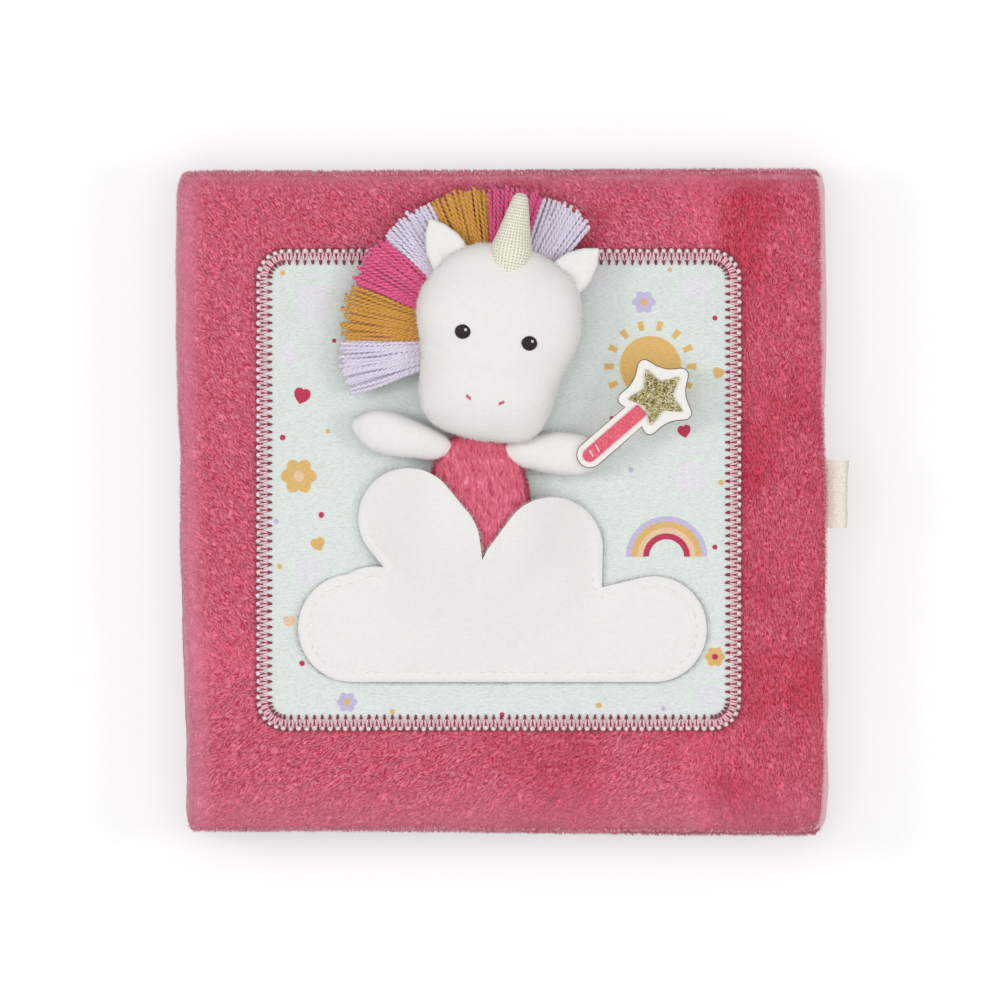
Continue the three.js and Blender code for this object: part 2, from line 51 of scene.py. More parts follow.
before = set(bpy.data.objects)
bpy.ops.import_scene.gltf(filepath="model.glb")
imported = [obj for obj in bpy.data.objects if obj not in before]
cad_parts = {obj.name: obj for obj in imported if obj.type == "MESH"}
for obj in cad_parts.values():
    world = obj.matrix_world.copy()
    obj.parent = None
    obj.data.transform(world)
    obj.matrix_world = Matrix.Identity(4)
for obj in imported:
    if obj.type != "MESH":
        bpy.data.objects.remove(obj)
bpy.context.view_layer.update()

MM = 0.001


def tint(red, green, blue):
    """A colour picked as 0 to 255, as the linear values that the shaders take."""
    levels = [part / 255 for part in (red, green, blue)]
    return tuple(v / 12.92 if v <= 0.04045 else ((v + 0.055) / 1.055) ** 2.4 for v in levels)


def box_of(node):
    """The two corners of a CAD node's box, in millimetres."""
    return [np.array(corner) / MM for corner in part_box(node)]


# What a user would change


def length(name, description, default):
    return bpy.props.FloatProperty(name=name, description=description, default=default * MM, unit="LENGTH")


def colour(name, description, *levels):
    shade = tint(*levels)
    return bpy.props.FloatVectorProperty(
        name=name, description=description, default=shade, subtype="COLOR", min=0, max=1
    )


class ClothBookSizes(bpy.types.PropertyGroup):
    spine_fold: length("Spine fold", "Radius of the plush where it turns round the spine", 5.5)
    edge_fold: length("Edge fold", "Radius of the plush round the covers' edges", 2.8)
    corner: length("Corner", "Radius of the covers' corners, seen from the front", 4.2)
    swell: length("Swell", "How far the cover's wadding lifts the plush", 0.9)
    voxel: length("Voxel", "Cell size of the plush before it is inflated", 2.3)
    pile: length("Pile", "Length of the covers' pile", 1.5)
    stitch_pitch: length("Edging pitch", "From one stitch of the patch's edging to the next", 2.42)
    stitch_depth: length("Edging depth", "How far the edging reaches into the patch", 4.2)
    thread: length("Thread", "Radius of the edging thread", 0.27)
    pocket_stitch: length("Pocket stitch", "From one stitch of the pocket's seam to the next", 3.3)
    yarn: length("Yarn", "Mean radius of the mane's two-ply yarn", 0.6)
    strands: bpy.props.IntProperty(
        name="Strands", description="Strands across each tuft's front", default=12, min=3
    )


class ClothBookColours(bpy.types.PropertyGroup):
    plush: colour("Plush", "The covers' plush, between light and shade", 241, 108, 134)
    # Plush shade and Plush light are painted shade between the fibres and painted light on their tips.
    plush_dark: colour("Plush shade", "Between the plush's fibres", 196, 48, 76)
    plush_light: colour("Plush light", "The tips of the plush's fibres", 255, 150, 172)
    white: colour("White plush", "The cloud and the doll", 237, 235, 231)
    page: colour("Page cloth", "Inside of the covers and the leaves", 253, 204, 210)
    jersey: colour("Jersey", "The patch's ground", 229, 237, 232)
    ochre: colour("Ochre", "Yarn and print", 216, 154, 48)
    magenta: colour("Magenta", "Yarn and print", 232, 82, 142)
    lilac: colour("Lilac", "Yarn and print", 232, 222, 240)
    canvas: colour("Canvas", "The horn", 246, 242, 220)
    tape: colour("Tape", "The loop at the free edge", 250, 242, 226)
    felt: colour("Felt", "The wand's backing", 246, 242, 236)
    gold: colour("Gold", "The wand's glitter", 214, 194, 96)


def sizes():
    return bpy.context.scene.cloth_book_sizes


def colours():
    return bpy.context.scene.cloth_book_colours


# Places of the part, in millimetres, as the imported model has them

_, (back_edge, half_back, back_top) = box_of("back_cover_plush")
(_, _, cover_under), (front_edge, half_front, cover_top) = box_of("front_cover_plush")
(spine_out, _, _), (spine_in, _, _) = box_of("spine_plush")
middle_z = cover_top / 2
patch_low, patch_high = box_of("scene_patch")
patch_radius = 9.0
panel_z = box_of("patch_edging")[0][2]
torso_low, torso_high = box_of("doll_torso")
doll_x = (torso_low[0] + torso_high[0]) / 2
doll_z = torso_low[2]
torso_depth = torso_high[2] - doll_z
neck_y = 22.0
head_tilt = math.radians(-10)
head_half, head_half_width = 31.0, 26.0
head_middle = neck_y - 3 + head_half * math.cos(head_tilt)
head_centre = np.array([doll_x - head_half * math.sin(head_tilt), head_middle, doll_z])
lining_depth = 0.45


# Selecting, adding and applying, as by hand


def select_only(*pieces):
    bpy.ops.object.select_all(action="DESELECT")
    for piece in pieces:
        piece.select_set(True)
    bpy.context.view_layer.objects.active = pieces[0]


def primitive(kind, name, stretch=(1, 1, 1), **settings):
    """Adds one of Blender's primitives, names it and puts its place and stretch into its mesh."""
    bpy.ops.object.select_all(action="DESELECT")
    getattr(bpy.ops.mesh, f"primitive_{kind}_add")(**settings)
    piece = bpy.context.object
    piece.name = piece.data.name = name
    piece.scale = [own * more for own, more in zip(piece.scale, stretch)]
    bpy.ops.object.transform_apply(location=True, rotation=True, scale=True)
    return piece


def block(name, low, high):
    """A block between two corners given in millimetres."""
    low, high = np.array(low, float), np.array(high, float)
    return primitive("cube", name, size=1, location=(low + high) / 2 * MM, scale=(high - low) * MM)


def grid(name, low, high, cell):
    """A flat grid of cells about `cell` wide, between two corners in the XY plane, at z = 0."""
    low, high = np.array(low, float), np.array(high, float)
    across, along = np.maximum(2, np.round((high - low) / cell)).astype(int).tolist()
    place, stretch = (*((low + high) / 2 * MM), 0), (*((high - low) * MM), 1)
    return primitive(
        "grid", name, stretch, x_subdivisions=across, y_subdivisions=along, size=1, location=place
    )


def ball(name, segments, rings):
    """A ball of radius 1, its poles on Y, ready to be shaped by its points."""
    turned = (math.pi / 2, 0, 0)
    return primitive("uv_sphere", name, segments=segments, ring_count=rings, radius=1, rotation=turned)


def mesh_piece(name, points, faces):
    """A piece from points in millimetres and the faces between them."""
    mesh = bpy.data.meshes.new(name)
    mesh.from_pydata((np.asarray(points) * MM).tolist(), [], faces)
    piece = bpy.data.objects.new(name, mesh)
    bpy.context.scene.collection.objects.link(piece)
    return piece


def modify(piece, kind, **settings):
    select_only(piece)
    modifier = piece.modifiers.new(kind.title(), kind)
    for key, value in settings.items():
        setattr(modifier, key, value)
    bpy.ops.object.modifier_apply(modifier=modifier.name)
    return piece


def solidify(piece, thickness, offset):
    return modify(piece, "SOLIDIFY", thickness=thickness * MM, offset=offset)


def select_faces():
    bpy.ops.mesh.select_all(action="SELECT")


def edit(piece, *steps):
    """Selects all of the piece's faces and runs edit-mode steps on them."""
    select_only(piece)
    bpy.ops.object.mode_set(mode="EDIT")
    for step in (select_faces, *steps):
        step()
    bpy.ops.object.mode_set(mode="OBJECT")
    return piece


def flip(piece):
    return edit(piece, bpy.ops.mesh.flip_normals)


def choose_edges(piece, wanted):
    """Selects the edges whose two ends, in millimetres, pass the test."""
    mesh = piece.data
    for group in (mesh.vertices, mesh.edges, mesh.polygons):
        for item in group:
            item.select = False
    points = points_of(piece)
    for edge in mesh.edges:
        edge.select = bool(wanted(points[edge.vertices[0]], points[edge.vertices[1]]))


def bevel_chosen(piece, width, segments):
    """Rounds the edges that choose_edges has selected."""
    select_only(piece)
    bpy.ops.object.mode_set(mode="EDIT")
    bpy.ops.mesh.select_mode(type="EDGE")
    bpy.ops.object.mode_set(mode="OBJECT")
    bpy.ops.object.mode_set(mode="EDIT")
    bpy.ops.mesh.bevel(offset=width * MM, segments=segments, affect="EDGES", clamp_overlap=True)
    bpy.ops.object.mode_set(mode="OBJECT")
    return piece


def vectors_of(piece, key):
    flat = np.empty(len(piece.data.vertices) * 3, np.float32)
    piece.data.vertices.foreach_get(key, flat)
    return flat.reshape(-1, 3).astype(float)


def points_of(piece):
    """The piece's points in millimetres."""
    return vectors_of(piece, "co") / MM


def normals_of(piece):
    return vectors_of(piece, "normal")


def set_points(piece, points):
    piece.data.vertices.foreach_set("co", (points * MM).astype(np.float32).ravel())
    piece.data.update()
    return piece


def corner_points(mesh):
    """The point at each corner of the mesh's faces, in the order of its UV map."""
    found = np.empty(len(mesh.loops), np.int32)
    mesh.loops.foreach_get("vertex_index", found)
    return found


def set_uv(piece, values):
    layer = piece.data.uv_layers.active or piece.data.uv_layers.new(name="cloth")
    layer.data.foreach_set("uv", np.asarray(values, np.float32).ravel())


def smooth_faces(piece, angle=None):
    select_only(piece)
    if angle is None:
        bpy.ops.object.shade_smooth()
    else:
        bpy.ops.object.shade_smooth_by_angle(angle=math.radians(angle))
    return piece


def face_outwards(piece):
    """Joins points that lie together and turns all faces outwards."""
    return edit(
        piece,
        lambda: bpy.ops.mesh.remove_doubles(threshold=0.002 * MM),
        lambda: bpy.ops.mesh.normals_make_consistent(inside=False),
    )


def dress(piece, *finishes):
    piece.data.materials.clear()
    for finish in finishes:
        piece.data.materials.append(finish)
    return piece


def fasten(piece, finish, body, slot, *nodes):
    """Dresses a piece, lets it ride on its body and stand for its CAD nodes."""
    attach(dress(piece, finish), body)
    if nodes:
        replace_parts(piece, *nodes)
    return piece


# Numbers that vary softly over a surface


def soft_step(share):
    share = np.clip(share, 0, 1)
    return share * share * (3 - 2 * share)


def bell(offset, width):
    """One where the offset is nought, falling off softly over the width."""
    return np.exp(-((offset / width) ** 2))


def rolled(inside, reach):
    """The rise of a rolled edge, from 0 at the rim to 1 where it is `reach` inside."""
    return 1 - (1 - np.clip(inside / reach, 0, 1)) ** 2


def squarish(value, power):
    """A sine or cosine, made to run round a fuller section than a circle."""
    return np.sign(value) * np.abs(value) ** (2 / power)


def unit_rows(rows):
    return rows / np.maximum(np.linalg.norm(rows, axis=-1, keepdims=True), 1e-6)


def ripple(points, wavelength, seed, waves=14):
    """A smooth random height from about -1 to 1, of the given wavelength in millimetres."""
    random = np.random.default_rng(seed)
    directions = random.normal(size=(waves, points.shape[1]))
    directions /= np.linalg.norm(directions, axis=1, keepdims=True)
    pitches = wavelength * random.uniform(0.7, 1.5, waves)
    phases = random.uniform(0, 2 * math.pi, waves)
    waves_here = np.sin(points @ (directions * (2 * math.pi / pitches)[:, None]).T + phases)
    return waves_here.sum(1) / math.sqrt(waves)


def two_ways(turn):
    """The direction at a turn in the XY plane, and the one to its left."""
    return np.array([math.cos(turn), math.sin(turn)]), np.array([-math.sin(turn), math.cos(turn)])


def lengths_along(route):
    """How far along a route each of its points is."""
    return np.concatenate([[0], np.cumsum(np.linalg.norm(np.diff(route, axis=0), axis=1))])


def at_places(places, lengths, route):
    """The points of a flat route at some places along it."""
    return np.stack([np.interp(places, lengths, route[:, axis]) for axis in (0, 1)], 1)


def round_corners(points, low, high, radius):
    """Pulls the corners of a rectangle of points in to a radius, in X and Y."""
    centre, half = (low + high) / 2, (high - low) / 2
    local = points[:, :2] - centre
    past = np.abs(local) - (half - radius)
    corner = (past > 0).all(1)
    far = np.linalg.norm(past[corner], axis=1)
    past[corner] *= (past[corner].max(1) / np.maximum(far, 1e-9))[:, None]
    local[corner] = np.sign(local[corner]) * (half - radius + past[corner])
    moved = points.copy()
    moved[:, :2] = local + centre
    return moved


def edge_distance(points, low, high):
    """How far each point is inside a rectangle, in X and Y."""
    return np.minimum(points[:, :2] - low, high - points[:, :2]).min(1)


# Materials


class Field:
    """A number that varies over a cloth. Sums and products of fields add Math nodes."""

    def __init__(self, finish, socket):
        self.finish, self.socket = finish, socket

    def by(self, operation, *others):
        node = self.finish.tree.nodes.new("ShaderNodeMath")
        node.operation = operation
        for slot, value in zip(node.inputs, (self, *others)):
            self.finish.feed(slot, value)
        return Field(self.finish, node.outputs[0])

    def __add__(self, other):
        return self.by("ADD", other)

    def __sub__(self, other):
        return self.by("SUBTRACT", other)

    def __mul__(self, other):
        return self.by("MULTIPLY", other)

    def __truediv__(self, other):
        return self.by("DIVIDE", other)

    def between(self, low, high, start=0.0, end=1.0):
        """This field's range from low to high, spread softly from start to end and held outside it."""
        node = self.finish.add("MapRange", interpolation_type="SMOOTHSTEP")
        sockets = ("Value", "From Min", "From Max", "To Min", "To Max")
        for key, value in zip(sockets, (self, low, high, start, end)):
            self.finish.feed(node.inputs[key], value)
        return Field(self.finish, node.outputs["Result"])


class Finish:
    """A material in the making, its nodes joined to one Principled shader."""

    def __init__(
        self, name, base, roughness=0.9, sheen=0.0, sheen_tint=(1, 1, 1), metallic=0.0, specular=0.3
    ):
        self.material = bpy.data.materials.new(name)
        self.material.use_nodes = True
        self.tree = self.material.node_tree
        self.shader = self.tree.nodes["Principled BSDF"].inputs
        for key, value in {
            "Base Color": (*base, 1),
            "Roughness": roughness,
            "Metallic": metallic,
            "Specular IOR Level": specular,
            "Sheen Weight": sheen,
            "Sheen Roughness": 0.45,
            "Sheen Tint": (*sheen_tint, 1),
        }.items():
            self.shader[key].default_value = value

    def feed(self, socket, value):
        if isinstance(value, Field):
            value = value.socket
        if isinstance(value, bpy.types.NodeSocket):
            self.tree.links.new(value, socket)
        elif isinstance(value, (tuple, list)) and len(socket.default_value) == 4:
            socket.default_value = (*value[:3], 1)
        else:
            socket.default_value = value

    def add(self, kind, inputs=(), **settings):
        node = self.tree.nodes.new("ShaderNode" + kind)
        for key, value in settings.items():
            setattr(node, key, value)
        for key, value in dict(inputs).items():
            self.feed(node.inputs[key], value)
        return node

    def place(self, scale=(1, 1, 1), turn=0.0, source="Object"):
        """Coordinates in millimetres on the piece, or its UV map in its own units."""
        per = 1 / MM if source == "Object" else 1
        node = self.add("Mapping", vector_type="POINT")
        self.tree.links.new(self.add("TexCoord").outputs[source], node.inputs["Vector"])
        node.inputs["Scale"].default_value = [part * per for part in scale]
        node.inputs["Rotation"].default_value = (0, 0, turn)
        return node.outputs["Vector"]

    def parts(self, vector):
        node = self.add("SeparateXYZ", {"Vector": vector})
        return [Field(self, socket) for socket in node.outputs]

    def noise(self, vector, scale, detail=2.0, roughness=0.5, whole=False):
        inputs = {"Vector": vector, "Scale": scale, "Detail": detail, "Roughness": roughness}
        node = self.add("TexNoise", inputs)
        return node.outputs["Color"] if whole else Field(self, node.outputs["Fac"])

    def stretched(self, vector, scale):
        node = self.add("VectorMath", operation="MULTIPLY")
        self.feed(node.inputs[0], vector)
        node.inputs[1].default_value = scale
        return node.outputs[0]

    def warped(self, vector, scale, reach):
        """The coordinates, pushed about by up to `reach`."""
        drift = self.add("VectorMath", operation="SUBTRACT")
        self.feed(drift.inputs[0], self.noise(vector, scale, 1.0, whole=True))
        drift.inputs[1].default_value = (0.5, 0.5, 0.5)
        pushed = self.add("VectorMath", operation="MULTIPLY_ADD")
        self.tree.links.new(drift.outputs[0], pushed.inputs[0])
        pushed.inputs[1].default_value = (2 * reach,) * 3
        self.feed(pushed.inputs[2], vector)
        return pushed.outputs[0]

    def ramp(self, factor, stops, interpolation="LINEAR"):
        node = self.add("ValToRGB", {"Fac": factor})
        node.color_ramp.interpolation = interpolation
        elements = node.color_ramp.elements
        while len(elements) < len(stops):
            elements.new(0.5)
        for element, (position, shade) in zip(elements, stops):
            element.position, element.color = position, (*shade, 1)
        return node.outputs["Color"]

    def mix(self, factor, first, second, kind="MIX"):
        node = self.add("Mix", data_type="RGBA", blend_type=kind)
        for index, value in ((0, factor), (6, first), (7, second)):
            self.feed(node.inputs[index], value)
        return node.outputs[2]

    def paint(self, shade):
        self.feed(self.shader["Base Color"], shade)

    def mottle(self, level, shade, dark, middle, light):
        """Paints the shade, with its dark and light ones at two levels, each given as (level, share)."""
        stops = ((dark[0], darker(shade, dark[1])), (middle, shade), (light[0], lighter(shade, light[1])))
        self.paint(self.ramp(level, stops))

    def bump(self, height, distance, strength=1.0):
        node = self.add("Bump", {"Height": height, "Distance": distance * MM, "Strength": strength})
        self.tree.links.new(node.outputs["Normal"], self.shader["Normal"])

    def distance_to(self, vector, point):
        node = self.add("VectorMath", operation="DISTANCE")
        self.feed(node.inputs[0], vector)
        node.inputs[1].default_value = point
        return Field(self, node.outputs["Value"])


def lighter(shade, share):
    return tuple(part + (1 - part) * share for part in shade)


def darker(shade, share):
    return tuple(part * (1 - share) for part in shade)


def plush_finish():
    """Short crimson pile, brushed in streaks that run down to the right and flatten out across the front."""
    shades = colours()
    cloth = Finish("crimson_plush", shades.plush, 0.95, sheen=0.9, sheen_tint=tuple(shades.plush_light))
    place = cloth.place()
    across, along, height = cloth.parts(place)
    cloudy = cloth.noise(place, 0.03, 2.0)
    brushed = cloth.warped(place, 0.3, 1.2)

    def streaks(turn):
        """How light the pile looks where it is brushed at a turn."""
        turned = cloth.add("VectorRotate", {"Vector": brushed, "Angle": -turn}, rotation_type="Z_AXIS")
        clumps = cloth.noise(cloth.stretched(turned.outputs[0], (0.7, 2.35, 1.6)), 1.0, 1.0)
        ridges = cloth.noise(cloth.stretched(turned.outputs[0], (1.4, 4.4, 2.9)), 1.0, 1.0)
        return clumps * 0.58 + ridges * 0.42

    top, bottom, right = streaks(-0.85), streaks(0.65), streaks(-1.4)
    level = top + (bottom - top) * (along + cloudy * 50).between(-45, -10, 1.0, 0.0)
    level = level + (right - level) * (across + cloudy * 60).between(75, 105)
    # The streaks' dark and light tones are painted shade between the pile's clumps and painted light on their
    # tips.
    tones = shades.plush_dark, shades.plush, shades.plush, shades.plush_light
    shade = cloth.ramp(level, tuple(zip((0.41, 0.485, 0.53, 0.6), tones)))
    # Deeper crimson in cloudy patches, more towards the free edge: painted shade of the nap.
    deep = cloudy.between(0.4, 0.65) * across.between(-90, 70, 0.1, 0.6) + across.between(58, 74, 0.0, 0.25)
    shade = cloth.mix(deep, shade, (0.82, 0.27, 0.38, 1), "MULTIPLY")
    # Paler towards the top and bottom ends: painted highlight on the pile there.
    lower_end_highlight = along.between(-half_front, 20 - half_front, 0.4, 0.0)
    upper_end_highlight = along.between(half_front - 8, half_front, 0.0, 0.3)
    shade = cloth.mix(lower_end_highlight + upper_end_highlight, shade, tint(236, 140, 168))
    # A lighter band along the spine, stronger higher up: painted sheen on the spine's rounded fold.
    from_spine = across + along.between(-80, 20, -3.4, -0.3)
    band = from_spine.between(spine_out - 1, spine_out + 9, 1.0, 0.0) * height.between(0, 24, 0.3, 1.0)
    shade = cloth.mix(band, shade, tint(250, 145, 175))
    # A pale rim round the front's top edges and down the spine's shoulder: painted sheen on the pile at the
    # edges.
    from_edge = across - along.between(0, 70, 1.7, 0.2)
    rim = along.between(half_front - 3.2, half_front + 0.5)
    rim = rim + along.between(-half_front - 0.5, 1.8 - half_front, 1.0, 0.0)
    rim = rim + from_edge.between(front_edge - 1.2, front_edge + 0.6, 0.0, 0.8)
    shoulder = from_spine.between(spine_out - 1.5, spine_out + 1.2, 1.0, 0.0) * height.between(14, 30)
    rim = rim * height.between(cover_top - 3.1, cover_top - 0.6) + shoulder
    cloth.paint(cloth.mix(rim.between(0.0, 1.0, 0.0, 0.9), shade, tint(255, 196, 212)))
    cloth.bump(level, 1.8, 1.0)
    return cloth.material


def fibre_tips_finish():
    """The ends of the pile, painted pale as they catch the light round the edges."""
    light = tuple(colours().plush_light)
    fibre = Finish("plush_fibre_tips", light, 1.0, sheen=0.6, sheen_tint=light)
    across = fibre.parts(fibre.place())[0]
    stray = fibre.noise(fibre.place((1.2, 1.2, 1.2)), 1.0, 2.0)
    shade = fibre.ramp(stray, ((0.35, light), (0.55, lighter(light, 0.2)), (0.7, lighter(light, 0.5))))
    # Paler still near the spine: painted highlight.
    spine_highlight = across.between(spine_out - 4, spine_out + 10, 0.6, 0.0)
    fibre.paint(fibre.mix(spine_highlight, shade, tint(255, 200, 216)))
    return fibre.material


def white_plush_finish():
    shades = colours()
    cloth = Finish("off_white_plush", shades.white, 0.95, sheen=0.25)
    brushed = cloth.warped(cloth.place(turn=0.4), 0.2, 1.5)
    clumps = cloth.noise(cloth.stretched(brushed, (0.5, 1.6, 1.2)), 1.0, 3.0, 0.6)
    fibres = cloth.noise(cloth.stretched(brushed, (1.6, 6.0, 4.0)), 1.0, 2.0)
    level = clumps * 0.7 + fibres * 0.3
    cloth.mottle(level, shades.white, (0.3, 0.05), 0.55, (0.8, 0.25))
    cloth.bump(level, 0.3, 0.25)
    return cloth.material


def torso_plush_finish():
    """The covers' plush with a longer nap, brushed downwards."""
    shades = colours()
    cloth = Finish("torso_plush", shades.plush, 0.95, sheen=0.4, sheen_tint=tuple(shades.plush_light))
    brushed = cloth.warped(cloth.place(turn=1.45), 0.16, 1.6)
    clumps = cloth.noise(cloth.stretched(brushed, (0.35, 1.4, 1.0)), 1.0, 2.0, 0.5)
    fibres = cloth.noise(cloth.stretched(brushed, (0.8, 4.5, 3.0)), 1.0, 2.0)
    level = clumps * 0.6 + fibres * 0.4
    tones = tint(172, 58, 84), tint(214, 96, 118), tint(218, 104, 126), tint(240, 142, 164)
    cloth.paint(cloth.ramp(level, tuple(zip((0.36, 0.46, 0.55, 0.64), tones))))
    cloth.bump(level, 0.7, 0.5)
    return cloth.material


def page_finish():
    shades = colours()
    cloth = Finish("pink_page_cotton", shades.page, 0.95, specular=0.1)
    across, along, _ = cloth.parts(cloth.warped(cloth.place(), 0.4, 0.15))
    weave = (across * 12.0).by("SINE") * (along * 12.0).by("SINE")
    slub = cloth.noise(cloth.place((0.4, 2.4, 1.5)), 1.0, 2.0)
    cloth.mottle(slub + weave * 0.06, shades.page, (0.3, 0.12), 0.6, (0.8, 0.3))
    cloth.bump(weave * 0.5 + slub, 0.12, 0.5)
    return cloth.material


def wadding_finish():
    fill = Finish("polyester_wadding", tint(240, 238, 232), 1.0, sheen=0.3)
    tangled = fill.noise(fill.warped(fill.place(), 0.3, 2.0), 1.4, 5.0, 0.7)
    fill.paint(fill.ramp(tangled, ((0.35, tint(214, 211, 203)), (0.6, tint(244, 243, 239)))))
    fill.bump(tangled, 1.0, 0.7)
    return fill.material


def film_finish():
    film = Finish("clear_crinkle_film", tint(205, 214, 222), 0.22, metallic=0.25, specular=0.6)
    cells = film.add("TexVoronoi", {"Vector": film.place(), "Scale": 0.22}, feature="DISTANCE_TO_EDGE")
    creases = Field(film, cells.outputs["Distance"])
    # Darker along the creases: painted shade.
    film.paint(film.ramp(creases * 2.0, ((0.0, tint(176, 188, 198)), (0.4, tint(214, 222, 229)))))
    film.bump(creases, 1.0, 0.6)
    return film.material


def thread_finish(name, shade, twist=1.0):
    """Spun thread on a UV map whose U runs along it in millimetres and whose V goes once round. With no
    twist, the shade follows two lobes that the mesh already has."""
    spun = Finish(name, shade, 0.75, sheen=0.2)
    along, round_it, _ = spun.parts(spun.place(source="UV"))
    plies = (along * (2 * math.pi * 0.8 * twist) + round_it * (4 * math.pi)).by("SINE")
    valley = (round_it * (4 * math.pi)).by("COSINE")
    hair = spun.noise(spun.place((2.5, 7.0, 1.0), source="UV"), 1.0, 2.0)
    # The grooves between the plies are darker and their crests lighter: painted shade and painted light,
    # besides the bump.
    level = hair + (plies * 0.1 if twist else valley * 0.13)
    spun.mottle(level, shade, (0.25, 0.3), 0.48, (0.75, 0.18))
    spun.bump(level, 0.12, 0.5)
    return spun.material


def canvas_finish():
    """Open plain weave on a UV map in millimetres."""
    shades = colours()
    cloth = Finish("horn_canvas", shades.canvas, 0.9, sheen=0.1)
    weft, warp, _ = cloth.parts(cloth.place((math.pi / 0.95, math.pi / 0.95, 1), source="UV"))
    across, along = weft.by("COSINE").by("ABSOLUTE"), warp.by("COSINE").by("ABSOLUTE")
    filled = across.by("MAXIMUM", along).between(0.28, 0.62)
    over = (weft + math.pi / 2).by("COSINE") * (warp + math.pi / 2).by("COSINE")
    uneven = cloth.noise(cloth.place((1.5, 1.5, 1.5)), 1.0, 3.0)
    shade = cloth.mix(uneven.between(0.35, 0.7), darker(shades.canvas, 0.08), lighter(shades.canvas, 0.15))
    # The weave's holes are painted dark: painted shade between the threads.
    cloth.paint(cloth.mix(filled, darker(shades.canvas, 0.6), shade))
    cloth.bump(filled + across.by("MAXIMUM", along) * 0.6 + over * 0.3, 0.3, 0.8)
    return cloth.material


def tape_finish():
    shades = colours()
    cloth = Finish("loop_tape", shades.tape, 0.85, sheen=0.1)
    across, along, _ = cloth.parts(cloth.place(source="UV"))
    ribs = (along * (2 * math.pi / 0.55) + across * 2.0).by("SINE")
    picks = (across * (2 * math.pi / 0.6)).by("SINE")
    slub = cloth.noise(cloth.place((1.2, 4.0, 2.0)), 1.0, 3.0)
    cloth.mottle(slub + ribs * 0.08 + picks * 0.05, shades.tape, (0.3, 0.16), 0.56, (0.8, 0.3))
    cloth.bump(ribs * 0.5 + picks * 0.4 + slub, 0.14, 0.6)
    return cloth.material


def felt_finish():
    shades = colours()
    cloth = Finish("wand_felt", shades.felt, 0.95, sheen=0.3)
    hair = cloth.noise(cloth.warped(cloth.place(), 0.9, 1.2), 2.2, 4.0, 0.65)
    cloth.mottle(hair, shades.felt, (0.32, 0.1), 0.55, (0.75, 0.5))
    cloth.bump(hair, 0.22, 0.5)
    return cloth.material


def cut_edge_finish():
    """The felt's cut edge on its lower side wall, mottled dark brown."""
    edge = Finish("felt_cut_edge", tint(104, 78, 68), 0.8)
    edge_tone = edge.noise(edge.place((3, 3, 3)), 1.0, 3.0)
    edge.paint(edge.ramp(edge_tone, ((0.35, tint(70, 50, 46)), (0.65, tint(150, 122, 108)))))
    return edge.material


def stick_finish():
    film = Finish("wand_stick_print", tint(206, 62, 92), 0.6, sheen=0.1)
    across, along, _ = film.parts(film.place())
    weave = (across * 9.0).by("SINE") * (along * 9.0).by("SINE")
    worn = film.noise(film.place((1.4, 1.4, 1.4)), 1.0, 4.0, 0.6)
    stops = ((0.3, tint(206, 70, 92)), (0.5, tint(228, 92, 114)), (0.8, tint(240, 140, 152)))
    film.paint(film.ramp(worn + weave * 0.05, stops))
    film.bump(weave * 0.4 + worn, 0.1, 0.5)
    return film.material


def glitter_finish():
    gold = tuple(colours().gold)
    foil = Finish("star_glitter", gold, 0.34, metallic=0.3, specular=0.8)
    flakes = foil.add("TexVoronoi", {"Vector": foil.place(), "Scale": 2.6, "Randomness": 1.0})
    glint, tilt, _ = foil.parts(flakes.outputs["Color"])
    # Flakes painted from near black to near white: painted glints and painted shade on the glitter.
    tones = darker(gold, 0.8), darker(gold, 0.25), lighter(gold, 0.25), tint(255, 252, 214)
    foil.paint(foil.ramp(glint, tuple(zip((0.05, 0.32, 0.62, 0.8), tones))))
    foil.bump(tilt + Field(foil, flakes.outputs["Distance"]), 0.5, 0.9)
    return foil.material


def plain_thread_finish(name, shade, roughness=0.55):
    """Satin stitches, on Object coordinates."""
    spun = Finish(name, shade, roughness, sheen=0.15)
    grain = spun.noise(spun.place((6, 2, 6)), 1.0, 2.0)
    spun.mottle(grain, shade, (0.35, 0.4), 0.6, (0.85, 0.15))
    spun.bump(grain, 0.1, 0.6)
    return spun.material


# The patch's printed ground


def print_mask(field, edge=0.16):
    """One inside a shape whose field is below zero."""
    return field.between(-edge, edge, 1.0, 0.0)


def local_parts(cloth, centre, turn=0.0, size=1.0):
    """X and Y about a motif's centre, in shares of its size."""
    node = cloth.add("Mapping", vector_type="TEXTURE")
    cloth.feed(node.inputs["Vector"], cloth.ground)
    node.inputs["Location"].default_value = (*centre, 0)
    node.inputs["Rotation"].default_value = (0, 0, turn)
    node.inputs["Scale"].default_value = (size, size, 1)
    across, along, _ = cloth.parts(node.outputs["Vector"])
    return across, along


def round_parts(cloth, centre, size=1.0):
    """The distance from a motif's centre and the turn about it."""
    across, along = local_parts(cloth, centre, 0.0, size)
    return (across * across + along * along).by("SQRT"), along.by("ARCTAN2", across)


def disc_motif(cloth, centre, radius):
    return print_mask(cloth.distance_to(cloth.ground, (*centre, 0)) - radius)


def heart_motif(cloth, centre, size, turn):
    across, along = local_parts(cloth, centre, turn, size)
    across = across.by("ABSOLUTE")
    along = along + 0.18 - across.by("SQRT") * 0.42
    return print_mask(across * across + along * along * 1.25 - 0.62, 0.16 / size)


def petal_motif(cloth, centre, size, petals):
    """A flower of round petals."""
    depth = 0.24
    reach, turn = round_parts(cloth, centre, size)
    wave = (turn * (petals / 2)).by("COSINE").by("ABSOLUTE")
    return print_mask(reach - (wave * depth + (1 - depth)), 0.16 / size)


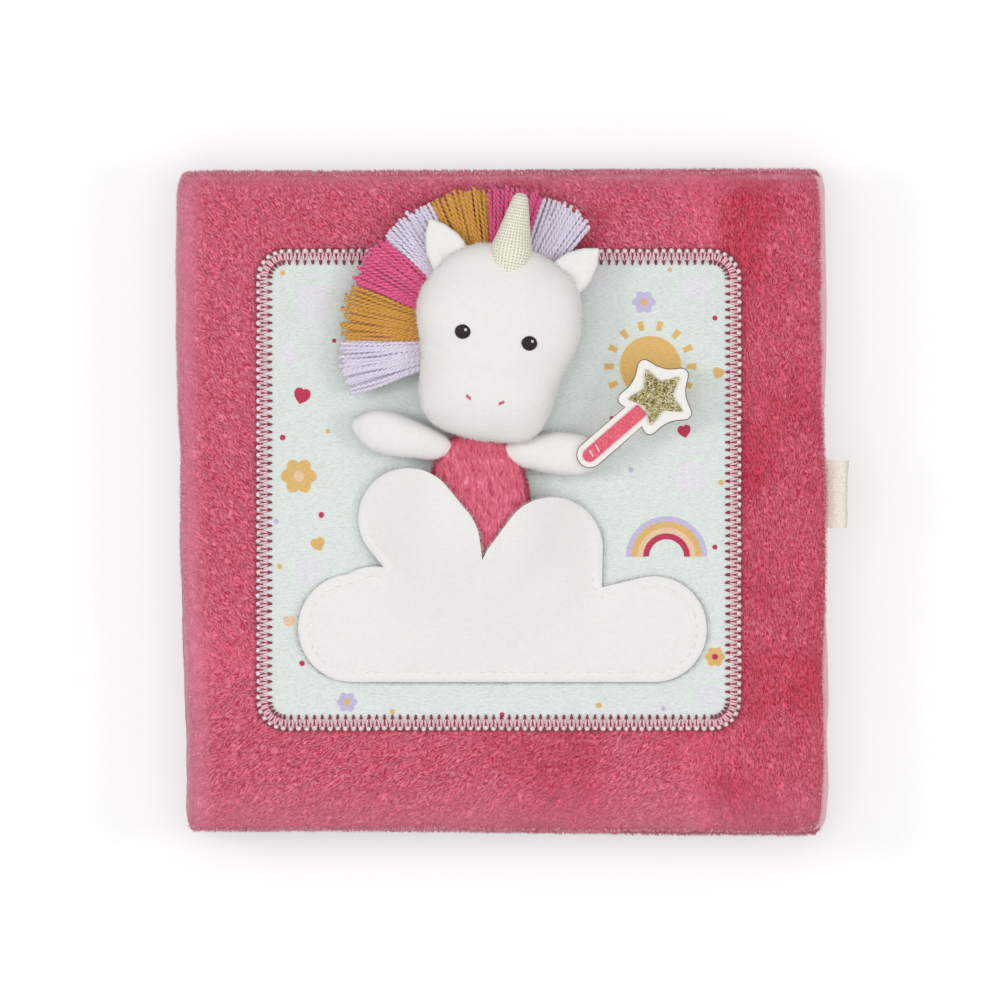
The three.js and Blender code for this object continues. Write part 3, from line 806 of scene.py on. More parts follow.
def ray_motif(cloth, centre, inner, outer, rays):
    """Short dashes round a sun."""
    reach, turn = round_parts(cloth, centre)
    dash = print_mask((turn * float(rays)).by("COSINE") * -1.0 + 0.55, 0.08)
    return dash * reach.between(inner, inner + 0.3) * reach.between(outer - 0.3, outer, 1.0, 0.0)


def arch_motif(cloth, centre, inner, outer):
    """Mask of a half ring that stands on a line, and how far each point is across its width."""
    across, along = local_parts(cloth, centre)
    reach = (across * across + along * along).by("SQRT")
    ring = reach.between(inner - 0.15, inner + 0.15) * reach.between(outer - 0.15, outer + 0.15, 1.0, 0.0)
    return ring * along.between(-0.15, 0.15), (reach - inner) / (outer - inner)


def jersey_finish():
    shades = colours()
    cloth = Finish("printed_jersey", shades.jersey, 0.85, sheen=0.1)
    place = cloth.place()
    cloth.ground = cloth.stretched(cloth.warped(place, 0.9, 0.12), (1, 1, 0))
    across, along, _ = cloth.parts(place)
    slub = cloth.noise(cloth.stretched(cloth.warped(place, 0.25, 0.8), (0.7, 4.2, 2)), 1.0, 3.0, 0.6)
    wale, course = 0.7, 0.55
    courses = (along * (2 * math.pi / course)).by("SINE")
    loops = (across * (2 * math.pi / wale) + courses * 0.7).by("SINE")
    # Lighter towards the bottom, plain at the top: painted shade of the doll over the top.
    shade = cloth.mix(along.between(-70, 70), lighter(shades.jersey, 0.12), tuple(shades.jersey))
    for centre, radius in (
        ((-58, 62), 6.0), ((-66, 46), 3.4), ((60, 66), 4.0), ((-60, -22), 4.4),
        ((58, 8), 5.0), ((30, 69), 3.0), ((64, -60), 4.2),
    ):
        shade = cloth.mix(disc_motif(cloth, centre, radius) * 0.75, shade, tint(237, 233, 240))
    ochre, crimson = tint(232, 190, 118), tint(200, 62, 92)
    lilac, peach = tint(205, 196, 228), tint(240, 208, 172)
    for centre, size, turn, paint in (
        ((59, -32), 3.4, 0.3, peach), ((-62, 33), 3.3, -0.25, crimson), ((56.5, 22), 2.6, 0.2, crimson),
        ((-57, -13), 2.8, 0.35, ochre), ((67, 40), 2.3, -0.3, ochre), ((-66, -37), 2.4, 0.1, peach),
    ):
        shade = cloth.mix(heart_motif(cloth, centre, size, turn), shade, paint)
    for centre, size, paint, eye in (
        ((-63, 8), 5.6, ochre, peach), ((44, 62), 3.6, lilac, ochre),
        ((-48, -62), 3.2, lilac, ochre), ((66, -48), 3.2, ochre, crimson),
    ):
        shade = cloth.mix(petal_motif(cloth, centre, size, 6), shade, paint)
        shade = cloth.mix(disc_motif(cloth, centre, size * 0.3), shade, eye)
    sun = (46, 42)
    shade = cloth.mix(disc_motif(cloth, sun, 9.5), shade, ochre)
    shade = cloth.mix(ray_motif(cloth, sun, 11.2, 14.4, 14), shade, ochre)
    arch, width = arch_motif(cloth, (51, -17), 5.4, 12.6)
    bands = cloth.ramp(width, ((0.0, crimson), (0.26, peach), (0.5, ochre), (0.76, lilac)), "CONSTANT")
    shade = cloth.mix(arch, shade, bands)
    for centre, radius, paint in (
        ((-68, 20), 0.9, crimson), ((-54, 22), 0.7, ochre), ((-70, -6), 0.8, lilac),
        ((-56, -4), 0.9, crimson), ((-69, -20), 0.8, ochre), ((-62, -50), 0.9, crimson),
        ((-34, -65), 0.8, ochre), ((0, -66), 0.8, crimson), ((30, -63), 0.9, ochre),
        ((50, -64), 0.8, lilac), ((68, 6), 0.9, ochre), ((40, 10), 0.8, lilac),
        ((66, -14), 0.8, crimson), ((34, 26), 0.7, crimson), ((66, 57), 0.8, crimson),
        ((52, 72), 0.7, ochre), ((-68, 71), 0.8, ochre), ((-52, 50), 0.7, crimson),
        ((-44, 70), 0.8, lilac), ((10, 73), 0.8, ochre),
    ):
        shade = cloth.mix(disc_motif(cloth, centre, radius), shade, paint)
    stops = ((0.28, tint(214, 214, 214)), (0.5, tint(246, 246, 246)), (0.66, (1, 1, 1)))
    cloth.paint(cloth.mix(0.75, shade, cloth.ramp(slub + loops * 0.03, stops), "MULTIPLY"))
    cloth.bump(loops * 0.35 + courses * 0.25 + slub * 1.3, 0.13, 0.55)
    return cloth.material


# Threads and yarn: many strands of one section along many paths


def strand_mesh(name, paths, radius, sides=6, plies=1, pitch=3.0, taper=1.0):
    """Closed strands along paths of shape (strands, points, 3), in millimetres. Two plies give the
    section two lobes that wind once in `pitch`. The UV map has millimetres along and one turn round."""
    paths = np.asarray(paths, float)
    strands, stations, _ = paths.shape
    tangents = unit_rows(np.gradient(paths, axis=1))
    up = np.where(np.abs(tangents[..., 2:]) > 0.93, [1.0, 0.0, 0.0], [0.0, 0.0, 1.0])
    side = unit_rows(np.cross(tangents, up))
    over = np.cross(side, tangents)
    steps = np.linalg.norm(np.diff(paths, axis=1), axis=2)
    along = np.concatenate([np.zeros((strands, 1)), np.cumsum(steps, axis=1)], axis=1)
    turns = np.linspace(0, 2 * math.pi, sides, endpoint=False)
    lobes, wound = np.full(sides, radius), 0 * along
    if plies > 1:
        lobes = radius * (1 + 0.26 * np.cos(plies * turns))
        phase = np.random.default_rng(strands).uniform(0, 2 * math.pi, (strands, 1))
        wound = 2 * math.pi * along / pitch + phase
    angle = turns + wound[..., None]
    reach = lobes * np.ones((strands, stations, 1))
    reach[:, [0, -1]] *= taper
    rings = (
        paths[:, :, None]
        + side[:, :, None] * (reach * np.cos(angle))[..., None]
        + over[:, :, None] * (reach * np.sin(angle))[..., None]
    )
    base = (np.arange(strands) * stations * sides)[:, None, None]
    row = base + (np.arange(stations - 1) * sides)[None, :, None]
    column = np.arange(sides)[None, None, :]
    after = (column + 1) % sides
    quads = [row + column, row + after, row + sides + after, row + sides + column]
    quads = np.stack(quads, -1).reshape(-1, 4)
    first = base.ravel()[:, None] + np.arange(sides)[::-1]
    last = base.ravel()[:, None] + (stations - 1) * sides + np.arange(sides)
    piece = mesh_piece(name, rings.reshape(-1, 3), quads.tolist() + first.tolist() + last.tolist())
    corner = corner_points(piece.data)
    values = np.stack(
        [
            np.broadcast_to(along[:, :, None], rings.shape[:3]).ravel()[corner],
            np.broadcast_to(turns / (2 * math.pi), rings.shape[:3]).ravel()[corner],
        ],
        1,
    )
    wrap = np.arange(quads.size)
    values[wrap[np.isin(wrap % 4, (1, 2)) & (values[wrap, 1] == 0)], 1] = 1.0
    set_uv(piece, values)
    return smooth_faces(piece)


def pile(name, skin, wanted, count, reach, width, lean, brush, seed):
    """Short fibres on the skin's faces that pass `wanted(points, normals)`, as many as `count` gives for
    their area. `brush(points)` gives the way they lie, and `lean` how far they lie down, from 0 to 1."""
    mesh = skin.data
    mesh.calc_loop_triangles()
    corners = np.empty(len(mesh.loop_triangles) * 3, np.int32)
    mesh.loop_triangles.foreach_get("vertices", corners)
    a, b, c = points_of(skin)[corners.reshape(-1, 3).T]
    flat = np.cross(b - a, c - a)
    area = np.linalg.norm(flat, axis=1) / 2
    normal = flat / np.maximum(2 * area, 1e-9)[:, None]
    weight = np.where(wanted((a + b + c) / 3, normal), area, 0)
    count = int(count(weight.sum()))
    random = np.random.default_rng(seed)
    picked = random.choice(len(area), count, p=weight / weight.sum())
    share = random.random((count, 2))
    over = share.sum(1) > 1
    share[over] = 1 - share[over]
    root = a[picked] + (b - a)[picked] * share[:, :1] + (c - a)[picked] * share[:, 1:]
    up = normal[picked]
    way = brush(root)
    way = unit_rows(way - up * (way * up).sum(1, keepdims=True))
    tall = reach * random.uniform(0.65, 1.25, (count, 1))
    tilt = np.clip(lean + random.normal(0, 0.09, (count, 1)), 0, 0.97)
    aim = unit_rows(way * tilt + up * np.sqrt(1 - tilt**2) + random.normal(0, 0.13, (count, 3)))
    side = unit_rows(np.cross(aim, up))
    wide = width * random.uniform(0.7, 1.3, (count, 1)) / 2
    sunk = root - up * 0.25
    knee = sunk + (aim * 0.45 + up * 0.3) * tall
    foot_ring = [sunk + side * wide, sunk - side * wide, sunk + np.cross(side, up) * wide]
    knee_ring = [knee + side * wide * 0.8, knee - side * wide * 0.8, knee + up * wide * 0.7]
    fibres = np.stack([*foot_ring, *knee_ring, sunk + aim * tall + up * 0.1 * tall], 1)
    start = np.arange(count)[:, None] * fibres.shape[1]
    walls = [(0, 1, 4, 3), (1, 2, 5, 4), (2, 0, 3, 5)]
    ends = [(3, 4, 6), (4, 5, 6), (5, 3, 6), (2, 1, 0)]
    faces = [face for corner in walls + ends for face in (start + np.array(corner)).tolist()]
    return smooth_faces(mesh_piece(name, fibres.reshape(-1, 3), faces))


def fuzz(skin, body, density=1.1, reach=0.8):
    """Short white hairs that stand out round a white plush piece."""
    upright = lambda points, normals: np.abs(normals[:, 2]) < 0.6
    middle = points_of(skin).mean(0)
    name = skin.name.replace("_plush", "").replace("_cloth", "") + "_fuzz"
    away = lambda points: points - middle
    count = lambda area: min(9000, density * area)
    hairs = pile(name, skin, upright, count, reach, 0.2, 0.45, away, len(name))
    return fasten(hairs, bpy.data.materials["white_fuzz"], body, "white_plush")


# Cloth


def inflate(piece, pressure, frames, most, held):
    """Swells the piece as cloth under air pressure. No point moves more than `most`; those held stay."""
    rest = points_of(piece)
    group = piece.vertex_groups.new(name="held")
    group.add(np.flatnonzero(held).tolist(), 1.0, "REPLACE")
    select_only(piece)
    cloth = piece.modifiers.new("Cloth", "CLOTH")
    cloth.settings.quality = 4
    cloth.settings.mass = 0.3
    cloth.settings.use_pressure = True
    cloth.settings.uniform_pressure_force = pressure
    cloth.settings.effector_weights.gravity = 0
    cloth.settings.tension_stiffness = cloth.settings.compression_stiffness = 12
    cloth.settings.bending_stiffness = 0.6
    cloth.settings.vertex_group_mass = group.name
    cloth.point_cache.frame_start, cloth.point_cache.frame_end = 1, frames
    for step in range(1, frames + 1):
        bpy.context.scene.frame_set(step)
    bpy.ops.object.modifier_apply(modifier=cloth.name)
    bpy.context.scene.frame_set(1)
    piece.vertex_groups.clear()
    moved = points_of(piece) - rest
    far = np.linalg.norm(moved, axis=1)
    set_points(piece, rest + moved * np.minimum(1, most / np.maximum(far, 1e-9))[:, None])


def spine_side(points):
    """How far the soft spine edge stands in from a straight line, along the book's height."""
    heights = [-103, -86, -71, -55, -40, -24, -9, 7, 22, 38, 53, 69, 84, 103]
    insets = [3.2, 3.5, 3.0, 2.4, 1.7, 1.3, 1.2, 1.1, 0.9, 0.1, -0.4, -0.4, -0.2, 0.0]
    return np.interp(points[:, 1], heights, insets)


def free_side(points):
    """How far the front cover's soft free edge stands out from a straight line."""
    heights = [-103, -86, -71, -55, -40, -24, 0, 22, 38, 53, 69, 84, 103]
    outs = [0.2, 1.2, 1.1, 1.0, 1.2, 1.8, 2.1, 1.3, 0.9, 0.4, 0.1, 0.0, -0.5]
    return np.interp(points[:, 1], heights, outs)


def plush_case():
    """The covers' plush as one soft case folded round the leaves, inflated and sewn down at the patch."""
    size = sizes()
    case = block("cover_case", (spine_out, -half_front, 0), (front_edge, half_front, cover_top))
    low = (spine_in - lining_depth, -half_front - 20, back_top - lining_depth)
    hollow = block("hollow", low, (front_edge + 20, half_front + 20, cover_under + lining_depth))
    modify(case, "BOOLEAN", operation="DIFFERENCE", solver="EXACT", object=hollow)
    bpy.data.objects.remove(hollow)
    upright = lambda a, b: abs(a[0] - b[0]) + abs(a[1] - b[1]) < 0.1 and (a[0] > 0 or a[0] < spine_out + 1)
    choose_edges(case, upright)
    bevel_chosen(case, size.corner / MM, 5)
    fold = lambda a, b: max(a[0], b[0]) < spine_out + 0.1 and abs(a[2] - b[2]) < 0.1 and abs(a[1] - b[1]) > 20
    choose_edges(case, fold)
    bevel_chosen(case, size.spine_fold / MM, 6)
    modify(case, "REMESH", mode="VOXEL", voxel_size=size.voxel, use_smooth_shade=True)
    soften_edges(case)
    points = points_of(case)
    x, _, z = points.T
    sewn = edge_distance(points, patch_low[:2] - 1, patch_high[:2] + 1) > 0
    sewn &= z > cover_top - 0.6
    inside = (z > 4) & (z < cover_top - 4) & (x > spine_in - 2)
    resting = z < 0.6
    spread = size.swell / MM * (0.2 + 0.8 * soft_step((x - spine_out - 2) / 14))
    inflate(case, 3.0, 16, spread, sewn | inside | resting)
    modify(case, "SUBSURF", levels=1, render_levels=1)
    crumple(case)
    shape_outline(case)
    pinch_folds(case)
    return case


def crumple(case):
    """Uneven plush outside, and smooth under the patch and next to the leaves."""
    points = points_of(case)
    x, z = points[:, 0], points[:, 2]
    outside = np.where(x > spine_in, soft_step((z - 25) / 5) + soft_step((6 - z) / 5), 1)
    under_patch = soft_step(edge_distance(points, patch_low[:2] - 2, patch_high[:2] + 2) / 3)
    shown = 1 - under_patch * (z > cover_top - 2)
    coarse = 0.22 * ripple(points, 26, 11) + 0.1 * ripple(points, 7, 12)
    fine = 0.07 * ripple(points, 2.6, 13, 24)
    points += normals_of(case) * ((coarse + fine) * np.clip(outside, 0, 1) * shown)[:, None]
    set_points(case, points)


def shape_outline(case):
    """Draws the case's sides to the soft outline that the book has from above."""
    points = points_of(case)
    x, y, z = points.T
    left = soft_step((-76 - x) / 4)
    wall = soft_step((spine_in + 0.6 - x) / 4.4)
    shell = soft_step((np.abs(z - middle_z) - (cover_under + 1.5 - middle_z)) / 4)
    wide = 1 - soft_step((x - spine_out) / 20)
    x += left * spine_side(points) * (wall + (wide - wall) * shell)
    front = soft_step((z - 20) / 4)
    right = soft_step((x - 75) / 22)
    x += right * (front * free_side(points) + (1 - front) * (back_edge - front_edge))
    tall = soft_step((x + 60) / 150)
    lower = y < 0
    start = np.where(lower, -0.3, 0.4)
    back_growth = (half_back / half_front - 1) * (start + (1 - start) * tall)
    y *= 1 + front * 0.004 * (tall - lower) + (1 - front) * back_growth
    z[:] = np.maximum(z, 0.0)
    set_points(case, points)


def pinch_folds(case):
    """Draws the case's two inner corners out, to leave room for the leaves' roots when it opens."""
    depth, reach = 2.4, 3.6
    points = points_of(case)
    for outer, inner in ((cover_top, cover_under), (0.0, back_top)):
        way = np.array([spine_out - spine_in, outer - inner])
        away = np.hypot(points[:, 0] - spine_in, points[:, 2] - inner)
        points[:, [0, 2]] += unit_rows(way) * (depth * bell(away, reach))[:, None]
    set_points(case, points)


def soften_edges(case):
    """Rounds the case's free edges."""
    points = points_of(case)
    fold = sizes().edge_fold / MM
    for level, sign in ((cover_top, 1), (0.0, -1)):
        for axis, bound, way in ((0, front_edge, 1), (1, -half_front, -1), (1, half_front, 1)):
            depth = sign * (points[:, 2] - level) + fold
            out = way * (points[:, axis] - bound) + fold
            corner = (depth > 0) & (out > 0)
            share = np.minimum(1, np.maximum(depth, out) / np.maximum(np.hypot(depth, out), 1e-6))
            points[:, axis] = np.where(corner, bound + way * (out * share - fold), points[:, axis])
            points[:, 2] = np.where(corner, level + sign * (depth * share - fold), points[:, 2])
    set_points(case, points)


def half_case(case, name, front):
    """One half of the case, cut at the middle of the spine."""
    select_only(case)
    bpy.ops.object.duplicate()
    half = bpy.context.object
    half.name = half.data.name = name
    cut = {"plane_co": (0, 0, middle_z * MM), "plane_no": (0, 0, 1), "use_fill": True}
    edit(half, lambda: bpy.ops.mesh.bisect(clear_inner=front, clear_outer=not front, **cut))
    return smooth_faces(half, 60)


def bend(piece, front):
    """Puts a half's transform into its mesh, the same for either half."""
    if front:
        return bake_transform(piece)
    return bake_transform(piece)


class CLOTHBOOK_OT_covers(bpy.types.Operator):
    """Makes the plush case, its two halves and their pile"""

    bl_idname = "cloth_book.covers"
    bl_label = "Plush covers"

    def execute(self, context):
        plush, tips = plush_finish(), fibre_tips_finish()
        case = plush_case()
        for name, front in (("front_cover", True), ("back_cover", False)):
            half = dress(half_case(case, name + "_skin", front), plush)
            fringe = dress(self.fringe(name + "_edge_pile", half, front), tips)
            for piece in (half, fringe):
                bend(piece, front)
            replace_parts(half, name + "_plush", "spine_plush")
        bpy.data.objects.remove(case)
        return {"FINISHED"}

    def fringe(self, name, skin, front):
        """Fibres that stand out round the edges and on the spine."""
        side, fold_z = (1, cover_under) if front else (-1, back_top)

        def wanted(points, normals):
            x, z = points[:, 0], points[:, 2]
            open_air = (x < spine_in - 0.5) | (z > 26.5) | (z < 7)
            off_fold = (np.hypot(x - spine_in, z - fold_z) > 6) | (np.abs(normals[:, 1]) > 0.5)
            return (np.abs(normals[:, 2]) < 0.62) & open_air & off_fold & (side * (z - middle_z) > 0.3)

        def outwards(points):
            x, y = points[:, 0] / 100, points[:, 1] / 100
            return np.stack([0.3 * x, y, -0.4 + 0 * x], 1)

        length = 0.68 * sizes().pile / MM
        count = lambda area: min(17000, 2.2 * area)
        return pile(name, skin, wanted, count, length, 0.26, 0.45, outwards, 31 if front else 32)


# Linings, wadding and film


def pad(name, node):
    """A crowned pad in a node's box, its sides drawn in between the corners."""
    low, high = box_of(node)
    piece = block(name, low, high)
    edit(piece, lambda: bpy.ops.mesh.subdivide(number_cuts=30))
    points = points_of(piece)
    centre, half = (low + high) / 2, (high - low) / 2
    share = (points - centre) / half
    thin = int(np.argmin(half))
    flat_axes = [axis for axis in range(3) if axis != thin]
    round_reach, draw_in = min(7.0, half[flat_axes].min()), 1.2
    crown = np.ones(len(points))
    for axis in flat_axes:
        crown *= np.sqrt(np.clip(rolled(half[axis] * (1 - np.abs(share[:, axis])), round_reach), 0.02, 1))
    points[:, thin] = centre[thin] + half[thin] * share[:, thin] * (0.25 + 0.75 * crown)
    for axis, other in (flat_axes, flat_axes[::-1]):
        points[:, axis] -= share[:, axis] * np.abs(share[:, axis]) ** 2 * draw_in * (1 - share[:, other] ** 2)
    uneven = ripple(points, 14, len(name)) * (1 - np.abs(share[:, thin]) ** 8 * 0.5)
    points[:, thin] += 0.06 * half[thin] * uneven
    points[:, thin] = np.clip(points[:, thin], low[thin], high[thin])
    return smooth_faces(set_points(piece, points), 50)


def lining_sheet(name, node, face):
    """A cover's lining, stretched over its wadding and turned under at its edge. `face` is the side,
    +1 or -1 on Z, that shows."""
    low, high = box_of(node)
    piece = grid(name, low[:2], high[:2], 2.4)
    inside = edge_distance(points_of(piece), low[:2], high[:2])
    points = round_corners(points_of(piece), low[:2], high[:2], 3.0)
    _, _, z = points.T
    soft = 0.07 * (1 + ripple(points[:, :2], 20, len(name)))
    height = 0.75 * (1 - rolled(inside, 3.2)) + 0.18 * bell(inside - 2.6, 0.5) + soft
    z[:] = (high[2] if face > 0 else low[2]) - face * height
    set_points(piece, points)
    if face < 0:
        flip(piece)
    return smooth_faces(solidify(piece, 0.8, -1), 50)


def crumpled_film(body, finish):
    """A body's crinkle film, creased all over, on the padding that it is laid on."""
    name, node = body + "_film", body + "_crinkle_film"
    low, high = box_of(node)
    piece = grid(name, low[:2], high[:2], 3.0)
    points = round_corners(points_of(piece), low[:2], high[:2], 3.0)
    folds = np.abs(ripple(points[:, :2], 17, len(name), 6))
    wrinkles = np.abs(ripple(points[:, :2], 8, len(name) + 3, 6))
    crease = (folds + 0.5 * wrinkles) / 1.4 - 0.5
    height = (low[2] + high[2]) / 2 + (high[2] - low[2]) * 0.4 * crease
    points[:, 2] = np.clip(height, low[2] + 0.05, high[2] - 0.05)
    smooth_faces(solidify(set_points(piece, points), 0.06, 0), 20)
    fasten(piece, finish, body, "crinkle_film", node)


class CLOTHBOOK_OT_linings(bpy.types.Operator):
    """Makes the covers' linings, wadding and crinkle film"""

    bl_idname = "cloth_book.linings"
    bl_label = "Linings and fillings"

    def execute(self, context):
        page, wadding, film = page_finish(), wadding_finish(), film_finish()
        for body, face in (("front_cover", -1), ("back_cover", 1)):
            node = body + "_lining"
            piece = fasten(lining_sheet(node + "_cloth", node, face), page, body, "page_cloth", node)
        for body in ("front_cover", "back_cover", "spine"):
            piece = pad(body + "_wadding", body + "_padding")
            points = points_of(piece)
            points[:, 0] = np.maximum(points[:, 0], spine_out + spine_side(points) + 1.1)
            fasten(set_points(piece, points), wadding, body, "wadding", body + "_padding")
        self.spine_lining(page)
        crumpled_film("front_cover", film)
        return {"FINISHED"}

    def spine_lining(self, page):
        """Drawn on its side, then stood up along the spine, a little shorter than its box where it folds."""
        low, high = box_of("spine_lining")
        long_share, wide_share = 0.985, 0.84
        piece = grid("spine_lining_cloth", low[1:], high[1:], 2.4)
        points = points_of(piece)
        x, y, _ = points.T
        hem = 1 - rolled(edge_distance(points, low[1:], high[1:]), 2.5)
        depth = 0.06 + 0.6 * hem + 0.05 * ripple(points[:, :2], 15, 4)
        up = middle_z + (y - middle_z) * wide_share
        set_points(piece, np.stack([high[0] - depth, x * long_share, up], 1))
        solidify(face_outwards(piece), 0.4, -1)
        points = points_of(piece)
        points[:, 0] -= max(0, points[:, 0].max() - high[0])
        set_points(piece, points)
        fasten(smooth_faces(piece, 50), page, "spine", "page_cloth", "spine_lining")


class CLOTHBOOK_OT_leaves(bpy.types.Operator):
    """Makes the two padded leaves: front and back cloth, wadding and film"""

    bl_idname = "cloth_book.leaves"
    bl_label = "Leaves"

    def execute(self, context):
        names = ("pink_page_cotton", "polyester_wadding", "clear_crinkle_film")
        page, wadding, film = (bpy.data.materials[name] for name in names)
        for leaf in ("leaf_1", "leaf_2"):
            filling = leaf + "_filling"
            for side, sign in (("front", 1), ("back", -1)):
                node = f"{leaf}_{side}_cloth"
                piece = self.page(f"{leaf}_{side}_page", leaf + "_front_cloth", sign)
                fasten(piece, page, leaf, "page_cloth", node)
            piece = fasten(pad(filling, leaf + "_wadding"), wadding, leaf, "wadding", leaf + "_wadding")
            crumpled_film(leaf, film)
        return {"FINISHED"}

    def page(self, name, node, side):
        """One cloth of a leaf. It domes over the wadding, is sewn flat at its edge, and the front one
        runs on as the gutter to its rolled hem."""
        low, high = box_of(node)
        middle, half = (low[2] + high[2]) / 2, (high[2] - low[2]) / 2
        root, gutter = low[0] + 8.2, side > 0
        start = low[0] + 1.0 if gutter else root - 1
        piece = grid(name, (start, low[1]), high[:2], 2.2)
        points = points_of(piece)
        inside = edge_distance(points, np.array([root, low[1]]), high[:2])
        points = round_corners(points, np.array([low[0] - 20, low[1]]), high[:2], 4.0)
        x, y, z = points.T
        dome = np.sqrt(rolled(inside - 0.6, 7))
        soft = 1 + 0.035 * ripple(points[:, :2], 24, len(name) + side) * dome
        wave = 0.3
        if name.startswith("leaf_1"):
            heights = [-100, -88, -72, -62, -45, -25, 20, 40, 60, 90]
            outs = [0.8, 1.8, 1.2, 1.8, 1.4, 0, 0, 0.9, 1.2, 0.6]
            wave = np.interp(y, heights, outs)
        x += soft_step((x - 70) / 25) * wave
        z[:] = middle + side * np.minimum(0.35 + (half - 0.5) * dome * soft, half - 0.02)
        set_points(piece, points)
        if side < 0:
            flip(piece)
        solidify(piece, 0.34, -1)
        if gutter:
            self.hem(piece, (low[0], middle), high[1] - low[1])
        return smooth_faces(piece, 50)

    def hem(self, piece, root, long):
        """Joins a rolled hem to a page, its round side at the root's X and Z."""
        radius = 1.2
        hem = primitive(
            "cylinder",
            piece.name + "_hem",
            vertices=24,
            radius=radius * MM,
            depth=long * MM,
            location=((root[0] + radius) * MM, 0, root[1] * MM),
            rotation=(math.pi / 2, 0, 0),
        )
        choose_edges(hem, lambda a, b: abs(a[1] - b[1]) < 0.01)
        bevel_chosen(hem, 0.35, 3)
        select_only(piece, hem)
        bpy.ops.object.join()


class CLOTHBOOK_OT_tape(bpy.types.Operator):
    """Makes the folded tape loop at the free edge"""

    bl_idname = "cloth_book.tape"
    bl_label = "Tape loop"

    def execute(self, context):
        low, high = box_of("tape_loop")
        middle = (low[2] + high[2]) / 2
        thick, ply = 0.7, 0.42
        neck = front_edge + 1.2
        bulge = (high[2] - low[2]) / 2 - thick / 2 - 0.05
        tip = high[0] + 1.6 - bulge
        opened = lambda x: -ply - (bulge - ply) * float(soft_step((x - neck) / (tip - neck)))
        lower = [(x, -ply) for x in np.linspace(low[0] + 0.3, neck, 6)]
        lower += [(x, opened(x)) for x in np.linspace(neck + 0.6, tip, 8)]
        turns = np.linspace(-math.pi / 2, math.pi / 2, 15)[1:-1]
        nose = np.stack([tip + bulge * np.cos(turns), bulge * np.sin(turns)], 1)
        profile = np.concatenate([lower, nose, np.array(lower[::-1]) * [1, -1]])
        along = lengths_along(profile)
        piece = grid("tape_loop_cloth", (0, low[1]), (along[-1], high[1]), 0.7)
        points = points_of(piece)
        set_uv(piece, points[corner_points(piece.data), :2])
        points[:, [0, 2]] = at_places(points[:, 0], along, profile)
        x, y, z = points.T
        edge = np.minimum(y - low[1], high[1] - y)
        top_side = soft_step((y - (high[1] - 9)) / 9)
        z[:] = middle + z * (0.78 + 0.22 * top_side)
        out = soft_step((x - front_edge) / 5)
        x += out * (0.5 * top_side - 0.35 + 0.12 * ripple(points[:, 1:2], 9, 2))
        y += out * 0.25 * ripple(points[:, :1], 8, 3) * (1 - soft_step(edge / 4))
        solidify(set_points(piece, points), thick, 0)
        fasten(smooth_faces(piece, 40), tape_finish(), "front_cover", "tape", "tape_loop")
        return {"FINISHED"}


# Front panel


class CLOTHBOOK_OT_patch(bpy.types.Operator):
    """Makes the printed jersey patch"""

    bl_idname = "cloth_book.patch"
    bl_label = "Printed patch"

    def execute(self, context):
        low, high = patch_low[:2], patch_high[:2]
        piece = grid("jersey_patch", low, high, 1.4)
        points = round_corners(points_of(piece), low, high, patch_radius)
        inside = edge_distance(points, low, high)
        sewn = 0.12 * bell(inside - 4.9, 1.3)
        slack = 0.24 * soft_step((inside - 3) / 10) * (1 + ripple(points[:, :2], 34, 6) * 0.7).clip(0)
        rim = 0.25 * (1 - soft_step(inside / 1.5))
        points[:, 2] = patch_high[2] - 0.06 - sewn - slack - rim
        solidify(set_points(piece, points), 0.6, -1)
        fasten(smooth_faces(piece, 40), jersey_finish(), "front_cover", "printed_jersey", "scene_patch")
        width, tall = (high - low) * MM
        area = width * tall - (4 - math.pi) * (patch_radius * MM) ** 2
        return {"FINISHED"}


def patch_outline(pitch):
    """Points along the patch's outline, about a pitch apart, and the direction inwards at each."""
    low, high = patch_low[:2] + patch_radius, patch_high[:2] - patch_radius
    dense, outward = [], []
    for centre, start in ((high, 0), ((low[0], high[1]), 90), (low, 180), ((high[0], low[1]), 270)):
        turns = np.radians(np.linspace(start, start + 90, 40))
        away = np.stack([np.cos(turns), np.sin(turns)], 1)
        dense.append(np.array(centre) + patch_radius * away)
        outward.append(away)
    dense, outward = (np.concatenate([*part, part[0][:1]]) for part in (dense, outward))
    along = lengths_along(dense)
    places = np.linspace(0, along[-1], int(round(along[-1] / pitch)), endpoint=False)
    return at_places(places, along, dense), -unit_rows(at_places(places, along, outward))


